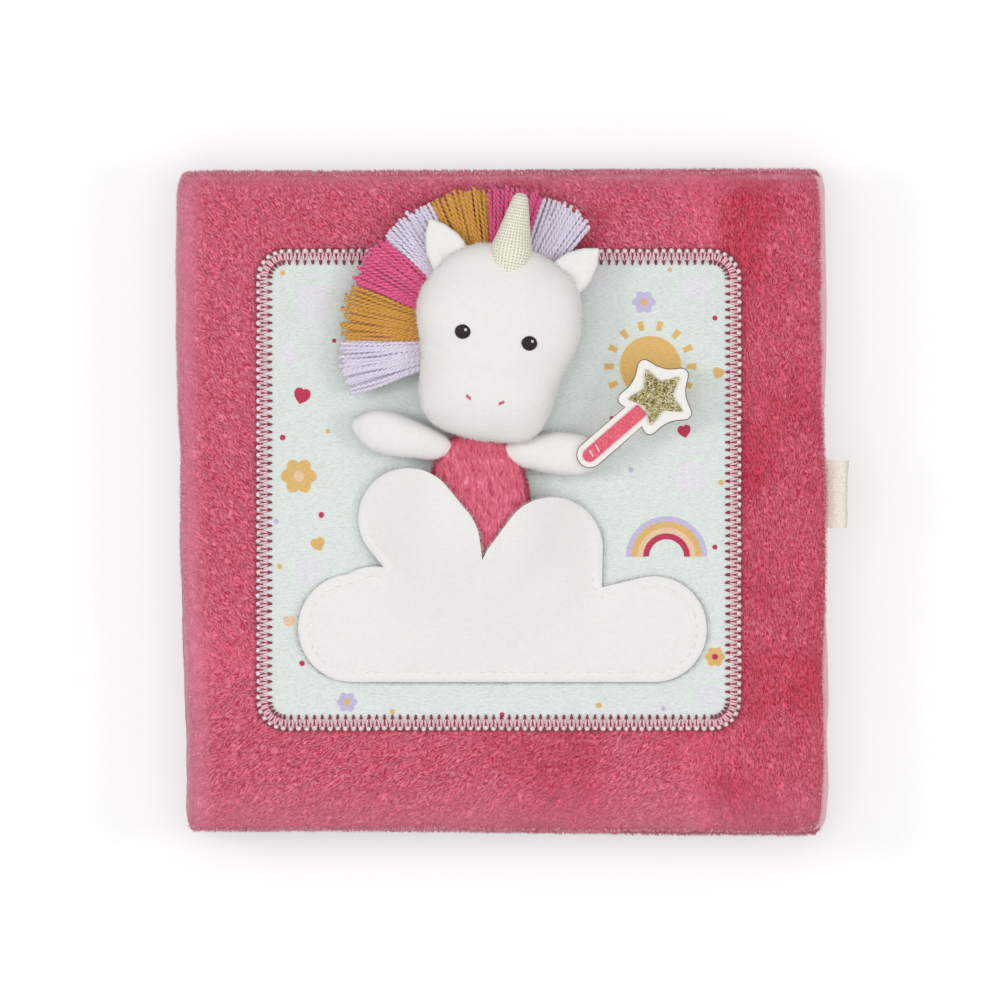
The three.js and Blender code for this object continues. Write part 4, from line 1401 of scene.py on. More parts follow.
class CLOTHBOOK_OT_edging(bpy.types.Operator):
    """Makes the overlocked edging: purls at the edge and loops that reach into the patch"""

    bl_idname = "cloth_book.edging"
    bl_label = "Overlocked edging"

    def execute(self, context):
        size = sizes()
        pitch, deep, radius = size.stitch_pitch / MM, size.stitch_depth / MM, size.thread / MM
        outline, inward = patch_outline(pitch)
        along = np.stack([inward[:, 1], -inward[:, 0]], 1)
        random = np.random.default_rng(41)
        level, inset = panel_z - 0.05, 0.45
        crimson = thread_finish("edging_crimson", tint(140, 24, 54), 1.2)
        pink = thread_finish("edging_pink", tint(248, 190, 202), 1.2)
        white = plain_thread_finish("purl_thread", tint(250, 240, 240), 0.7)

        def laid(stations):
            """Paths of (along, inward, height) stations, the same at each stitch but for small slips."""
            stations = np.array(stations, float)
            slip = random.normal(0, 0.06, (len(outline), len(stations), 2))
            place = stations[None, :, :2] + slip + np.array([0, inset])
            flat = outline[:, None] + along[:, None] * place[..., :1] + inward[:, None] * place[..., 1:]
            height = np.broadcast_to(stations[:, 2] + level, flat.shape[:2])[..., None]
            return np.concatenate([flat, height], 2)

        def bowed(start, end, height):
            """A thread that rises from the cloth, runs over it and dives in again."""
            start, end = np.array(start, float), np.array(end, float)
            lifts = {0: -0.35, 0.06: 0.1, 0.3: height, 0.6: height, 0.92: 0.12, 1: -0.35}
            return [(*(start + (end - start) * share), lift) for share, lift in lifts.items()]

        wide = pitch * 0.36
        tip, cross = deep - 0.75, deep * 0.6
        looper = [bowed((side * wide, 0.3), (side * 0.2, tip), 0.42 + side * 0.02) for side in (-1, 1)]
        needle = [bowed((side * wide * 0.5, cross), (side * 0.05, deep), 0.46) for side in (-1, 1)]
        core = [bowed((0.02, 0.8), (0.0, deep * 0.85), 0.3)]
        over_edge = {1.3: -0.2, 0.9: 0.16, 0.2: 0.2, -0.4: 0.1, -0.7: -0.5}
        wrap = [[(-pitch / 2, inside, lift) for inside, lift in over_edge.items()]]
        for name, routes, thick, finish, nodes in (
            ("edging_looper_thread", looper, 1.2, pink, ("patch_edging",)),
            ("edging_needle_thread", needle, 0.85, crimson, ()),
            ("edging_core_thread", core, 0.7, crimson, ()),
            ("edging_wraps", wrap, 1.4, crimson, ()),
        ):
            piece = strand_mesh(name, np.concatenate([laid(route) for route in routes]), radius * thick)
            fasten(piece, finish, "front_cover", "edging_thread", *nodes)
        self.purls(outline + inward * (inset + 0.1), inward, along, level, random, white)
        return {"FINISHED"}

    def purls(self, outline, inward, along, level, random, finish):
        """One white purl, modelled once and copied to each stitch along the edge."""
        seed = primitive("uv_sphere", "edging_purls", segments=10, ring_count=7, radius=1)
        unit = points_of(seed) * MM
        corners = [np.array(face.vertices) for face in seed.data.polygons]
        bpy.data.objects.remove(seed)
        count = len(outline)
        shape = unit * [0.72, 0.7, 0.5] * random.uniform(0.85, 1.15, (count, 1, 3))
        shape[..., 2] += 0.1 * np.sin(4 * shape[..., 0])
        place = shape[..., :2] + random.normal(0, 0.07, (count, 1, 2)) + np.array([0, -0.1])
        flat = outline[:, None] + along[:, None] * place[..., :1] + inward[:, None] * place[..., 1:]
        solid = np.concatenate([flat, shape[..., 2:] + level + 0.16], 2)
        faces = [(face + start).tolist() for start in np.arange(count) * len(unit) for face in corners]
        piece = face_outwards(mesh_piece("edging_purls", solid.reshape(-1, 3), faces))
        fasten(smooth_faces(piece), finish, "front_cover", "edging_thread")


# Cloud pocket

pocket_width = 127.0
pocket_bottom = -55.8
pocket_cloth = 1.6
cloud_lobes = [(-0.366, 0.1315, 0.1315), (-0.312, 0.162, 0.12), (0.371, 0.129, 0.129)]
for crest in (
    ((-0.229, 0.4, 0.122), (-0.176, 0.335, 0.122), (-0.155, 0.28, 0.106)),
    ((0.064, 0.261, 0.117), (0.122, 0.327, 0.124), (0.112, 0.24, 0.132)),
):
    shares = np.linspace(0, len(crest) - 1, 25)
    cloud_lobes += zip(*(np.interp(shares, range(len(crest)), column) for column in zip(*crest)))
cloud_lobes = np.array(cloud_lobes)
cloud_base = {"left": -0.366, "right": 0.371, "top": 0.261, "right_top": 0.226}
cloud_heart = np.array([-0.03, 0.164])
seam_inset = 3.0
seam_start, seam_end = 0.8 * math.pi, 2.12 * math.pi


def cloud_reach(turns):
    """How far the cloud's outline is from its heart at each turn, in millimetres."""
    ray = np.stack([np.cos(turns), np.sin(turns)], -1)
    to = cloud_lobes[:, :2] - cloud_heart
    along = ray @ to.T
    square = cloud_lobes[:, 2] ** 2 - ((to**2).sum(1) - along**2)
    lobes = np.where(square < 0, 0, along + np.sqrt(np.maximum(square, 0)))
    side = np.where(ray[:, 0] < 0, cloud_base["left"], cloud_base["right"]) - cloud_heart[0]
    top = np.where(ray[:, 0] < 0, cloud_base["top"], cloud_base["right_top"])
    level = np.where(ray[:, 1] < 0, 0, top) - cloud_heart[1]
    safe = np.where(np.abs(ray) < 1e-9, np.where(ray < 0, -1e-9, 1e-9), ray)
    base = np.minimum(side / safe[:, 0], level / safe[:, 1])
    return np.maximum(lobes.max(1), base) * pocket_width


def cloud_point(turns, reach):
    centre = cloud_heart * pocket_width + np.array([0, pocket_bottom])
    return centre + np.stack([np.cos(turns), np.sin(turns)], -1) * np.asarray(reach)[..., None]


def pocket_inside(points):
    """Height of the pocket's inner face: on the patch, and up over the doll."""
    half_torso, side_ramp, bottom_ramp, seam = 17.0, 31.0, 52.0, 2.6
    across = 1 - soft_step((np.abs(points[..., 0] - doll_x) - half_torso / 2) / side_ramp)
    up = soft_step((points[..., 1] - pocket_bottom - seam) / bottom_ramp)
    return panel_z + (doll_z - panel_z + torso_depth + 0.8) * across * up


class CLOTHBOOK_OT_pocket(bpy.types.Operator):
    """Makes the cloud pocket and its row of stitches"""

    bl_idname = "cloth_book.pocket"
    bl_label = "Cloud pocket"

    def execute(self, context):
        white = white_plush_finish()
        Finish("white_fuzz", lighter(colours().white, 0.2), 1.0, sheen=0.3)
        outline, points, faces = self.cloud_faces(0.8)
        inset, nearest = self.from_edge(points)
        top = pocket_inside(points) + pocket_cloth
        sewn = bell(inset - seam_inset, 0.8) * self.sewn(nearest)
        roll = np.clip(1 - inset / 0.9, 0, 1) ** 2
        puff = 0.5 * soft_step((inset - 3) / 9)
        top += -0.38 * sewn - 0.5 * roll + puff + 0.16 * ripple(points, 18, 3) * soft_step(inset / 8)
        piece = solidify(mesh_piece("cloud_pocket_cloth", np.column_stack([points, top]), faces), 1.35, -1)
        solid = points_of(piece)
        solid[:, 2] = np.maximum(solid[:, 2], pocket_inside(solid[:, :2]) + 0.02)
        set_points(piece, solid)
        fasten(smooth_faces(piece, 60), white, "front_cover", "white_plush", "cloud_pocket")
        outline = outline * MM
        fuzz(piece, "front_cover", 5, 1.2)
        self.stitches()
        return {"FINISHED"}

    def cloud_faces(self, cell):
        """The cloud's outline, and the points and faces of a net of about even cells that fills it."""
        turns = np.linspace(0, 2 * math.pi, 4000, endpoint=False)
        outline = cloud_point(turns, cloud_reach(turns))
        along = lengths_along(outline)
        outline = at_places(np.arange(0, along[-1], cell), along, outline)
        low, high = outline.min(0), outline.max(0)
        lines = [np.arange(low[axis], high[axis], cell) for axis in (0, 1)]
        inner = np.stack(np.meshgrid(*lines, indexing="ij"), -1).reshape(-1, 2)
        inner[:, 0] += cell / 2 * (np.round((inner[:, 1] - low[1]) / cell) % 2)
        to = inner - cloud_point(np.array([0.0]), np.array([0.0]))
        inner = inner[np.linalg.norm(to, axis=1) < cloud_reach(np.arctan2(to[:, 1], to[:, 0]))]
        inner = inner[self.from_edge(inner)[0] > 0.6 * cell]
        sites = [Vector(site) for site in np.concatenate([outline, inner]).tolist()]
        filled = delaunay_2d_cdt(sites, [], [list(range(len(outline)))], 1, 1e-6)
        return outline, np.array([tuple(site) for site in filled[0]]), filled[2]

    def from_edge(self, points):
        """How far each point is from the cloud's outline, and the turn at which it is nearest."""
        turns = np.linspace(0, 2 * math.pi, 1440, endpoint=False)
        edge = cloud_point(turns, cloud_reach(turns))
        found = [np.linalg.norm(edge - point, axis=1) for point in points]
        return np.array([away.min() for away in found]), np.array([turns[away.argmin()] for away in found])

    def sewn(self, turns):
        """One where the cloud is sewn down, and nought along its open mouth."""
        turns = np.mod(turns, 2 * math.pi)
        return ((turns < seam_end - 2 * math.pi) | (turns > seam_start)).astype(float)

    def stitches(self):
        """Short stitches along the seam, each dipping into the cloth at both ends."""
        turns = np.linspace(seam_start, seam_end, 2400)
        edge = cloud_point(turns, cloud_reach(turns))
        way = unit_rows(np.gradient(edge, axis=0))
        route = edge + seam_inset * np.column_stack([-way[:, 1], way[:, 0]])
        route = route[self.from_edge(route)[0] > seam_inset - 0.1]
        along = lengths_along(route)
        pitch = sizes().pocket_stitch / MM
        random = np.random.default_rng(51)
        paths = []
        for start in np.arange(pitch / 2, along[-1] - pitch, pitch):
            places = start + np.array([0, 0.12, 0.5, 0.88, 1.0]) * random.uniform(1.25, 1.6)
            flat = at_places(places, along, route) + random.normal(0, 0.08, 2)
            height = pocket_inside(flat) + pocket_cloth - 0.38 + np.array([-0.4, 0.12, 0.3, 0.12, -0.4])
            paths.append(np.column_stack([flat, height]))
        seam = thread_finish("seam_thread", tint(247, 245, 240), 1.4)
        piece = strand_mesh("pocket_seam_stitches", paths, 0.3, 7)
        fasten(piece, seam, "front_cover", "white_thread", "pocket_stitching")


# Doll


def swelling(name, start, angle, base, stations, power, segments=64, rings=72, floor=-1):
    """A stuffed form along a line in the XY plane. Stations are (place, half width, low, high), their
    heights above the base."""
    piece = ball(name, segments, rings)
    unit = points_of(piece) * MM
    stations = np.array(stations, float)
    share = (1 + unit[:, 1]) / 2
    places = stations[0, 0] + share * (stations[-1, 0] - stations[0, 0])
    half, low, high = (np.interp(places, stations[:, 0], column) for column in stations.T[1:])
    turn = np.arctan2(unit[:, 2], unit[:, 0])
    blunt = np.sqrt(np.maximum(1 - unit[:, 1] ** 2, 0)) ** 0.6
    across = half * squarish(np.cos(turn), power) * blunt
    height = base + (low + high) / 2 + (high - low) / 2 * squarish(np.sin(turn), power) * blunt
    way, side = two_ways(angle)
    flat = np.array(start) + places[:, None] * way - across[:, None] * side
    points = np.column_stack([flat, np.maximum(height, floor)])
    return smooth_faces(face_outwards(set_points(piece, points)))


def head_place(points):
    """Points of the head, its crown at +Y and its middle at the origin, put where the doll has them."""
    across, up = two_ways(head_tilt)
    return np.column_stack([head_centre[:2] + points[:, :1] * across + points[:, 1:2] * up, points[:, 2]])


# Shares of the head's half height, up from its middle, and of its half width there
head_outline = (
    (-1, -0.97, -0.9, -0.78, -0.6, -0.42, -0.26, -0.1, 0.06, 0.24, 0.42, 0.6, 0.76, 0.88, 0.96, 1),
    (0.2, 0.42, 0.6, 0.73, 0.8, 0.82, 0.84, 0.9, 0.97, 1.0, 0.98, 0.9, 0.75, 0.56, 0.34, 0.14),
)


class CLOTHBOOK_OT_doll_body(bpy.types.Operator):
    """Makes the doll's torso and arms"""

    bl_idname = "cloth_book.doll_body"
    bl_label = "Doll's body"

    def execute(self, context):
        pink, white = torso_plush_finish(), bpy.data.materials["off_white_plush"]
        halves = ((0, 8.5), (3, 13.5), (9, 16.4), (22, 17), (34, 16.6), (50, 15.4), (57, 12.6), (61, 9))
        tops = [torso_depth - sunk for sunk in (8.2, 7.4, 5.6, 1.8, 0, 0, 0.6, 2)]
        stations = [(place, half, 0, top) for (place, half), top in zip(halves, tops)]
        foot = (doll_x, torso_low[1])
        torso = swelling("doll_torso_plush", foot, math.pi / 2, doll_z, stations, 2.3, floor=doll_z)
        points = points_of(torso)
        points += normals_of(torso) * (0.1 * ripple(points, 15, 61))[:, None]
        points[:, 2] = np.maximum(points[:, 2], doll_z)
        set_points(torso, points)
        fasten(torso, pink, "doll", "plush", "doll_torso")
        upright = lambda points, normals: np.abs(normals[:, 2]) < 0.75

        def downwards(points):
            aside = 0.18 * np.sign(points[:, 0] - doll_x) + 0.35 * ripple(points[:, :2], 14, 62)
            return np.stack([aside, -np.ones(len(points)), 0 * aside], 1)

        nap = pile("doll_torso_pile", torso, upright, lambda area: 5000, 1.3, 0.22, 0.6, downwards, 63)
        fasten(nap, pink, "doll", "plush")
        self.arm("left", (-21.0, 17.5), math.radians(165), white)
        self.arm("right", (6.0, 15.5), math.radians(-3), white)
        return {"FINISHED"}

    def arm(self, side, shoulder, angle, white):
        """A stuffed arm with its seam half way up."""
        stations = (
            (-6, 4.6, 1.4, 8.0), (0, 5.6, 0.6, 9.2), (8, 6.2, 0.1, 10.2), (14, 6.9, 0, 10.5),
            (19, 7.1, 0, 10.5), (23, 6.2, 0.4, 10.0), (26.2, 3.4, 2.6, 8.0),
        )
        name = f"doll_{side}_arm"
        arm = swelling(name + "_plush", shoulder, angle, doll_z, stations, 2.2, 56, 60, floor=doll_z)
        points = points_of(arm)
        seam = bell(points[:, 2] - doll_z - 5.2, 0.5)
        points += normals_of(arm) * (0.12 * ripple(points, 8, 64) - 0.22 * seam)[:, None]
        fasten(set_points(arm, points), white, "doll", "white_plush", name)
        fuzz(arm, "doll")


class CLOTHBOOK_OT_doll_head(bpy.types.Operator):
    """Makes the doll's head, ears, horn and embroidered face"""

    bl_idname = "cloth_book.doll_head"
    bl_label = "Doll's head"

    def execute(self, context):
        white = bpy.data.materials["off_white_plush"]
        self.head = self.shaped_head()
        fasten(smooth_faces(self.head), white, "doll", "white_plush", "doll_head")
        fuzz(self.head, "doll", 0.9, 0.9)
        for side, sign in (("left", -1), ("right", 1)):
            self.ear(side, sign, white)
            self.eye(side, sign)
        self.nostrils()
        self.horn()
        return {"FINISHED"}

    def shaped_head(self):
        """The head's plush with its muzzle, the bridge above it and the seams drawn in."""
        head = ball("doll_head_plush", 128, 112)
        unit = points_of(head) * MM
        share = unit[:, 1]
        turn = np.arctan2(unit[:, 2], unit[:, 0])
        half = head_half_width * np.interp(share, *head_outline)
        blunt = 0.95
        round_end = np.sqrt(np.maximum(1 - share**2, 0)) / math.sqrt(1 - blunt**2)
        half = np.where(np.abs(share) > blunt, half * round_end, half)
        length_fall = np.maximum(1 - np.abs(share) ** 2.6, 0) ** 0.5
        across = half * squarish(np.cos(turn), 2.25)
        deep = np.where(np.sin(turn) > 0, 12.2, 11.4) * length_fall
        height = 11.5 + deep * squarish(np.sin(turn), 2.25)
        up = share * head_half
        muzzle = bell(across, 15) * bell(up + 19, 10.5)
        bridge = bell(up + 5.5, 5.5) * length_fall
        height += (1.1 * muzzle - 1.5 * bridge) * (np.sin(turn) > 0)
        set_points(head, np.column_stack([across, up, doll_z + height]))
        modify(head, "SMOOTH", factor=0.5, iterations=6)
        points, normals = points_of(head), normals_of(head)
        x, y, z = points.T
        front = normals[:, 2] > 0.05
        centre_seam = bell(x, 0.55) * front * (y > -4)
        muzzle_seam = bell(y + 7.5 - 3.0 * (x / 20) ** 2, 0.55) * front
        drawn_in = 0.34 * np.maximum(centre_seam, muzzle_seam) + 0.3 * bell(z - doll_z - 9.5, 0.6)
        points = head_place(points + normals * (0.25 * ripple(points, 16, 71) - drawn_in)[:, None])
        points[:, 2] = np.maximum(points[:, 2], doll_z)
        return face_outwards(set_points(head, points))

    def on_face(self, across, up, lifts):
        """World points over places on the face, lifted off the plush by some heights."""
        flat = head_place(np.column_stack([across, up, 0 * across]))[:, :2]
        bpy.context.view_layer.update()
        heights = []
        for x, y in flat:
            hit, where, _, _ = self.head.ray_cast(Vector((x * MM, y * MM, 0.2)), Vector((0, 0, -1)))
            if not hit:
                raise RuntimeError("a stitch of the face lies off the head")
            heights.append(where.z / MM)
        return np.column_stack([flat, np.array(heights) + lifts])

    def ear(self, side, sign, white):
        """A leaf-shaped ear, hollowed in front and rolled at its rim."""
        angle = math.pi / 2 + head_tilt - sign * math.radians(38)
        stations = (
            (17, 3.4, 0.3, 4.2), (22, 5.4, 0, 4.6), (29, 6.4, 0, 4.6),
            (35, 6.0, 0, 4.5), (40, 4.2, 0.3, 4.2), (43.2, 1.2, 1.2, 3.4),
        )
        base, name = box_of(f"doll_{side}_ear")[0][2], f"doll_{side}_ear"
        ear = swelling(name + "_plush", head_centre[:2], angle, base, stations, 2.1, 48, 48)
        points, normals = points_of(ear), normals_of(ear)
        way, across = two_ways(angle)
        local = points[:, :2] - head_centre[:2]
        dish = np.exp(-((local @ across / 2.9) ** 2 + ((local @ way - 31) / 8) ** 2)) * (normals[:, 2] > 0)
        points[:, 2] -= 2.0 * dish
        fasten(smooth_faces(set_points(ear, points)), white, "doll", "white_plush", name)
        fuzz(ear, "doll", 1.2, 0.7)

    def eye(self, side, sign):
        """A round eye of satin stitches, with three short white ones for its glint."""
        middle, level, radius = sign * 10.5, 1.5, 2.35
        share = np.linspace(-1, 1, 9)
        paths = []
        for offset in np.linspace(-radius + 0.12, radius - 0.12, 17):
            half = math.sqrt(max(radius**2 - offset**2, 0.04))
            away = np.hypot(offset, half * share) / (radius + 0.15)
            lifts = 0.42 * np.sqrt(np.maximum(1 - away**2, 0)) + 0.05
            lifts[[0, -1]] = -0.3
            paths.append(self.on_face(middle + offset + 0 * share, level + half * share, lifts))
        dark = plain_thread_finish(f"eye_thread_{side}", tint(46, 32, 32))
        piece = strand_mesh(f"doll_{side}_eye_stitches", paths, 0.2)
        fasten(piece, dark, "doll", "eye_thread", f"doll_{side}_eye")
        up = level + 0.75 + 0.4 * np.linspace(-1, 1, 4)
        lifts = np.array([0.45, 0.72, 0.72, 0.45])
        glint = [self.on_face(middle + offset + 0 * up, up, lifts) for offset in (0.55, 0.8, 1.05)]
        white = plain_thread_finish(f"glint_thread_{side}", tint(250, 248, 246))
        fasten(strand_mesh(f"doll_{side}_eye_glint", glint, 0.14), white, "doll", "white_thread")

    def nostrils(self):
        """Three short stitches at each side."""
        share = np.linspace(-1, 1, 5)
        lifts = np.array([-0.25, 0.14, 0.2, 0.14, -0.25])
        paths = []
        for across in (-5.2 - 0.9 * share, 5.2 + 0.9 * share):
            for up in (-18.5, -18.2, -17.9):
                paths.append(self.on_face(across, up + 0.5 * share, lifts))
        pink = plain_thread_finish("nostril_thread", tint(226, 120, 146))
        fasten(strand_mesh("doll_nostril_stitches", paths, 0.19), pink, "doll", "edging_thread")

    def horn(self):
        """A cone of open canvas with a round tip, turned in at the head."""
        low, high = box_of("doll_horn")
        middle = (low[2] + high[2]) / 2
        foot, shoulder, tip_radius, tip_length = 20, 44.6, 2.5, 2.4
        segments, rings, cap_rings = 56, 44, 6
        side = np.linspace(foot, shoulder, rings - cap_rings)
        cap = tip_length * np.sin(np.linspace(0.18, 1, cap_rings) * math.pi / 2)
        places = np.concatenate([side, shoulder + cap])
        cap_radii = tip_radius * np.sqrt(np.maximum(1 - (cap / 2.45) ** 2, 0.0)) + 0.02
        side_radii = np.interp(side, [foot, 25, 29.7, shoulder], [4.4, 5.7, 6.5, tip_radius])
        radii = np.concatenate([side_radii, cap_radii])
        turns = np.linspace(0, 2 * math.pi, segments, endpoint=False)
        bulge = 1 + 0.03 * np.sin(places / 3.1)[:, None] + 0.02 * np.sin(3 * turns)[None]
        across = radii[:, None] * np.cos(turns)[None] * bulge
        height = middle + radii[:, None] * np.sin(turns)[None] * bulge
        up = np.broadcast_to(places[:, None], across.shape)
        cone = np.column_stack([across.ravel(), up.ravel(), height.ravel()])
        points = head_place(np.concatenate([cone, [[0, places[-1] + 0.03, middle]]]))
        spot = np.tile(np.arange(segments), rings - 1)
        ring = np.repeat(np.arange(rings - 1), segments)
        after, low_row, high_row = (spot + 1) % segments, ring * segments, (ring + 1) * segments
        faces = np.stack([low_row + spot, high_row + spot, high_row + after, low_row + after], 1).tolist()
        left, right = (place / segments * 2 * math.pi * 5.0 for place in (spot, spot + 1))
        start, end = places[ring], places[ring + 1]
        canvas = np.stack([left, start, left, end, right, end, right, start], 1).reshape(-1, 2).tolist()
        last = (rings - 1) * segments
        for spot in range(segments):
            faces.append((last + spot, rings * segments, last + (spot + 1) % segments))
            left = spot * 0.56
            canvas += [(left, places[-1]), (left, places[-1] + 0.4), (left + 0.5, places[-1])]
        faces.append(tuple(range(segments)))
        canvas += [(0, foot)] * segments
        piece = mesh_piece("doll_horn_canvas", points, faces)
        set_uv(piece, canvas)
        edit(piece, lambda: bpy.ops.mesh.normals_make_consistent(inside=False))
        fasten(smooth_faces(piece, 50), canvas_finish(), "doll", "canvas", "doll_horn")


class CLOTHBOOK_OT_mane(bpy.types.Operator):
    """Makes the mane's tufts of two-ply yarn"""

    bl_idname = "cloth_book.mane"
    bl_label = "Yarn mane"

    def execute(self, context):
        shades = colours()
        order = ("lilac", "ochre", "magenta")
        finishes = {name: thread_finish(name + "_yarn", tuple(getattr(shades, name)), 0.0) for name in order}
        step = math.radians(21.5)
        random = np.random.default_rng(81)
        for index in range(7):
            angle = math.radians(200) + head_tilt - index * step
            node = f"mane_tuft_{index + 1}"
            name = order[index % len(order)]
            paths = self.tuft(angle, step, box_of(node), random)
            piece = strand_mesh(
                f"mane_yarn_{index + 1}", paths, sizes().yarn / MM, 10, plies=2, pitch=3.4, taper=0.75
            )
            fasten(piece, finishes[name], "doll", name + "_yarn", node)
        return {"FINISHED"}

    def tuft(self, angle, step, box, random):
        """Strands in three rows that fan out from the head's middle over a step of the turn."""
        low, high = box
        paths = []
        for row in range(3):
            count = sizes().strands - row % 2
            for strand in range(count):
                spread = ((strand + 0.5) / count - 0.5) * 2 + random.normal(0, 0.25 / count)
                way, side = two_ways(angle + spread * step * (0.49 + 0.02 * row))
                reach = 48.3 - 1.1 * row + random.normal(0, 0.55) - 1.0 * spread**2
                place = np.linspace(20, reach, 84)
                sway = random.uniform(0.1, 0.4) * np.sin(place / random.uniform(4, 9) + random.uniform(0, 6))
                sway *= soft_step((place - 26) / 12)
                flat = head_centre[:2] + place[:, None] * way + sway[:, None] * side
                droop = (2.2 - 0.5 * row) * soft_step((place - 34) / 16) ** 1.5
                root = 1.3 * (1 - soft_step((place - 21) / 8))
                height = high[2] - 0.75 - 0.9 * row - 0.5 * spread**2 + random.normal(0, 0.12)
                paths.append(np.column_stack([flat, np.maximum(height - droop - root, low[2] + 0.5)]))
        return paths


# Wand


star_middle = 28


def wand_place(points, lift):
    """Points of the wand, along +X from the hand, put where the doll holds it."""
    hand = np.array([26.97, 14.4])
    way, side = two_ways(math.radians(41))
    return np.column_stack([hand + points[:, :1] * way + points[:, 1:2] * side, points[:, 2] + lift])


def star_plate(name, radius, valley, soft, thickness):
    """A five-pointed plate with rounded points."""
    turns = np.arange(10) * math.pi / 5
    reach = np.where(np.arange(10) % 2, radius * valley, radius)
    return plate(name, star_middle + reach * np.cos(turns), reach * np.sin(turns), soft, thickness)


def stick_plate(name, half, start, end, thickness):
    """A bar, round at the hand and nearly flat under the star."""
    turns = np.linspace(math.pi / 2, 3 * math.pi / 2, 13)
    across = np.concatenate([start + half * np.cos(turns), end - half * 0.2 * np.cos(turns)])
    return plate(name, across, np.concatenate([half * np.sin(turns), -half * np.sin(turns)]), 0, thickness)


def plate(name, across, along, soft, thickness):
    """A plate with an outline given point by point, its corners rounded."""
    piece = primitive("circle", name, vertices=len(across), radius=1, fill_type="NGON")
    set_points(piece, np.column_stack([across, along, 0 * across]))
    round_points = lambda: bpy.ops.mesh.bevel(offset=soft * MM, segments=5, affect="VERTICES")
    move = {"value": (0, 0, thickness * MM)}
    return edit(
        piece,
        *([round_points, select_faces] if soft else []),
        lambda: bpy.ops.mesh.extrude_region_move(TRANSFORM_OT_translate=move),
        select_faces,
        lambda: bpy.ops.mesh.normals_make_consistent(inside=False),
    )


def flare(piece, reach):
    """Pushes the lower rim of a plate out a little, as scissors leave felt."""
    points = points_of(piece)
    set_points(piece, points + unit_rows(normals_of(piece) * [1, 1, 0]) * reach * (points[:, 2:] < 0.1))


class CLOTHBOOK_OT_wand(bpy.types.Operator):
    """Makes the felt-backed wand with its stick and glitter star"""

    bl_idname = "cloth_book.wand"
    bl_label = "Wand"

    def execute(self, context):
        base, top = box_of("wand_backing")[0][2], box_of("wand_star")[0][2]
        felt = star_plate("wand_felt_backing", 13.6, 0.6, 3.2, 1.4)
        border = stick_plate("border", 3.9, 0.4, 26, 1.4)
        modify(felt, "BOOLEAN", operation="UNION", solver="EXACT", object=border)
        bpy.data.objects.remove(border)
        edit(
            felt,
            lambda: bpy.ops.mesh.remove_doubles(threshold=0.05 * MM),
            lambda: bpy.ops.mesh.dissolve_limited(angle_limit=math.radians(1)),
            select_faces,
            lambda: bpy.ops.mesh.bisect(plane_co=(0, 0, 0.35 * MM), plane_no=(0, 0, 1)),
        )
        flare(felt, 0.3)
        self.layer(felt, base, 0.16, (felt_finish(), cut_edge_finish()), "felt", "wand_backing")
        stick = stick_plate("wand_printed_stick", 2.1, 0.2, 21.5, 0.6)
        self.layer(stick, top, 0.16, (stick_finish(),), "crimson_print", "wand_stick")
        star = star_plate("wand_glitter_star", 9.4, 0.5, 0.6, 0.75)
        self.layer(star, top, 0.2, (glitter_finish(),), "gold_glitter", "wand_star")
        self.thread()
        return {"FINISHED"}

    def layer(self, piece, lift, soft, finishes, slot, node):
        """Bevels, dresses and places one layer of the wand. A second finish is for its lower side wall."""
        choose_edges(piece, lambda a, b: min(a[2], b[2]) > 0.1 and abs(a[2] - b[2]) < 0.01)
        modify(bevel_chosen(piece, soft, 3), "TRIANGULATE")
        dress(piece, *finishes)
        if len(finishes) > 1:
            for face in piece.data.polygons:
                face.material_index = int(abs(face.normal.z) < 0.9 and face.center.z < 0.3 * MM)
        set_points(piece, wand_place(points_of(piece), lift))
        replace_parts(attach(smooth_faces(piece, 35), "doll"), node)

    def thread(self):
        """The stitches that tie the stick and the felt to the hand."""
        random = np.random.default_rng(91)
        level = box_of("wand_star")[1][2] - 0.1
        share = np.linspace(-1, 1, 7)
        lifts = np.array([-0.9, 0.05, 0.22, 0.25, 0.22, 0.05, -0.9])
        paths = []
        for place in (1.0, 3.4):
            across = place + 0.35 * share + random.normal(0, 0.1)
            paths.append(wand_place(np.column_stack([across, 1.6 * share, level + lifts]), 0))
        piece = strand_mesh("wand_tie_stitches", paths, 0.2)
        fasten(piece, bpy.data.materials["seam_thread"], "doll", "white_thread")


# Studio


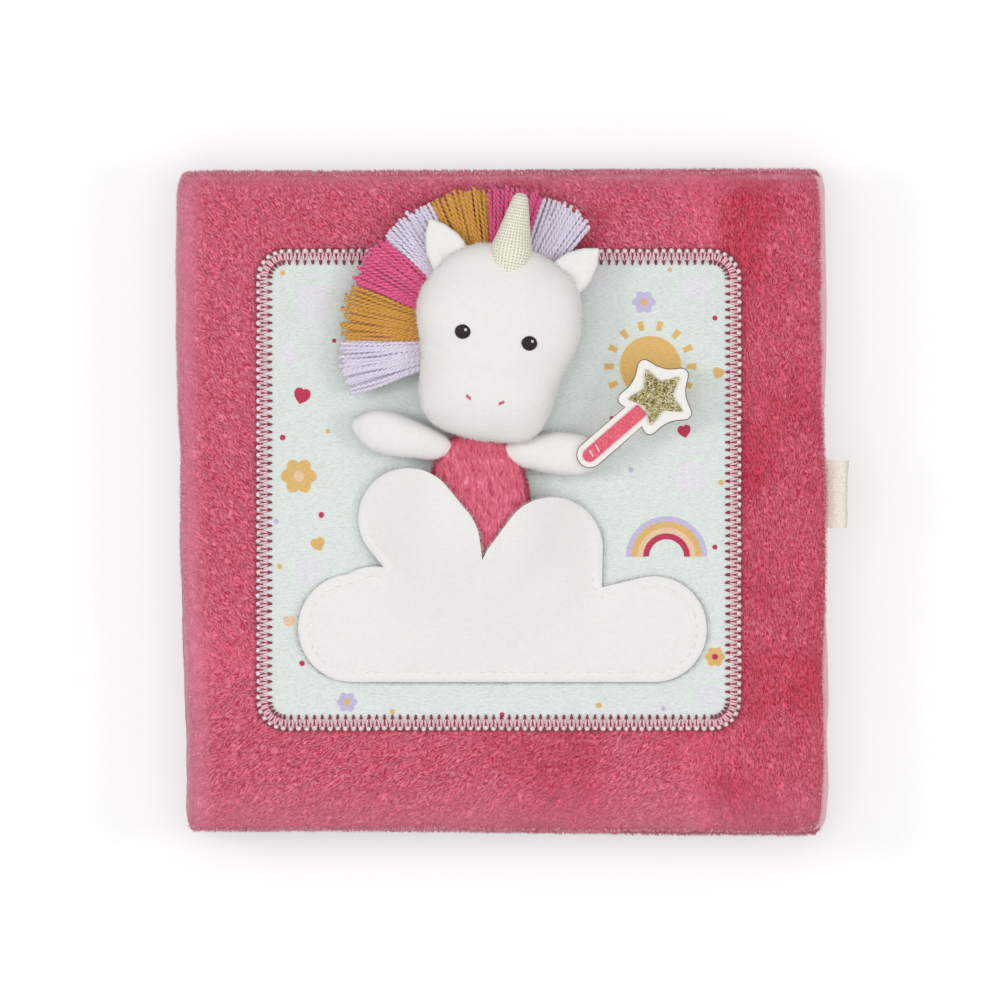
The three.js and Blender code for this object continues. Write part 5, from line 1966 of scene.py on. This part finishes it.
class CLOTHBOOK_OT_stage(bpy.types.Operator):
    """Sets up the floor, the lamps, the world and the camera"""

    bl_idname = "cloth_book.stage"
    bl_label = "Studio"

    def execute(self, context):
        scene = context.scene
        scene.view_settings.view_transform = "Standard"
        camera = bpy.data.cameras.new("camera")
        camera.type = "ORTHO"
        camera.ortho_scale = 0.31
        camera.clip_end = 10
        scene.camera = bpy.data.objects.new("camera", camera)
        scene.camera.location = (-0.00062, 0.00062, 1.2)
        scene.collection.objects.link(scene.camera)
        self.floor()
        self.lamp("overhead", (-0.05, 0.0, 1.3), 1.3, 6.1)
        self.lamp("left", (-0.8, 0.12, 0.95), 0.35, 2.9)
        self.lamp("right", (0.8, -0.02, 0.95), 0.35, 2.5)
        world = bpy.data.worlds.new("studio")
        world.use_nodes = True
        back = world.node_tree.nodes["Background"].inputs
        back["Color"].default_value = (1, 1, 1, 1)
        back["Strength"].default_value = 0.44
        scene.world = world
        return {"FINISHED"}

    def floor(self):
        """White paper that looks a little brighter than it lights the book."""
        floor = primitive("plane", "floor", size=8, location=(0, 0, -0.0002))
        paper = Finish("studio_paper", (0.55, 0.55, 0.55), 0.95, specular=0.1)
        rays = paper.add("LightPath").outputs
        seen = Field(paper, rays["Is Camera Ray"]).by("MAXIMUM", Field(paper, rays["Is Glossy Ray"]))
        seen = seen.by("MAXIMUM", Field(paper, rays["Is Transmission Ray"]))
        paper.shader["Emission Color"].default_value = (1, 1, 1, 1)
        paper.feed(paper.shader["Emission Strength"], seen * 0.48)
        dress(floor, paper.material)

    def lamp(self, name, place, size, power):
        light = bpy.data.lights.new(name, "AREA")
        light.shape, light.size, light.energy = "DISK", size, power
        lamp = bpy.data.objects.new(name, light)
        lamp.location = place
        lamp.rotation_euler = (Vector((0, 0, 0)) - Vector(place)).to_track_quat("-Z", "Y").to_euler()
        bpy.context.scene.collection.objects.link(lamp)


class CLOTHBOOK_PT_steps(bpy.types.Panel):
    """Lists the steps that make the book"""

    bl_idname = "CLOTHBOOK_PT_steps"
    bl_label = "Cloth book"
    bl_space_type = "VIEW_3D"
    bl_region_type = "UI"
    bl_category = "Cloth book"

    def draw(self, context):
        for step in STEPS:
            self.layout.operator(step.bl_idname)
        for group in (context.scene.cloth_book_sizes, context.scene.cloth_book_colours):
            box = self.layout.box()
            for name in group.__annotations__:
                box.prop(group, name)


STEPS = (
    CLOTHBOOK_OT_stage,
    CLOTHBOOK_OT_covers,
    CLOTHBOOK_OT_linings,
    CLOTHBOOK_OT_leaves,
    CLOTHBOOK_OT_tape,
    CLOTHBOOK_OT_patch,
    CLOTHBOOK_OT_edging,
    CLOTHBOOK_OT_pocket,
    CLOTHBOOK_OT_doll_body,
    CLOTHBOOK_OT_doll_head,
    CLOTHBOOK_OT_mane,
    CLOTHBOOK_OT_wand,
)
CLASSES = (ClothBookSizes, ClothBookColours, *STEPS, CLOTHBOOK_PT_steps)


def register():
    for item in CLASSES:
        bpy.utils.register_class(item)
    bpy.types.Scene.cloth_book_sizes = bpy.props.PointerProperty(type=ClothBookSizes)
    bpy.types.Scene.cloth_book_colours = bpy.props.PointerProperty(type=ClothBookColours)


def unregister():
    del bpy.types.Scene.cloth_book_sizes
    del bpy.types.Scene.cloth_book_colours
    for item in reversed(CLASSES):
        bpy.utils.unregister_class(item)


def main():
    register()
    for step in STEPS:
        group, name = step.bl_idname.split(".")
        if getattr(getattr(bpy.ops, group), name)() != {"FINISHED"}:
            raise RuntimeError(f"{step.bl_label} didn't finish")


if __name__ == "__main__":
    main()
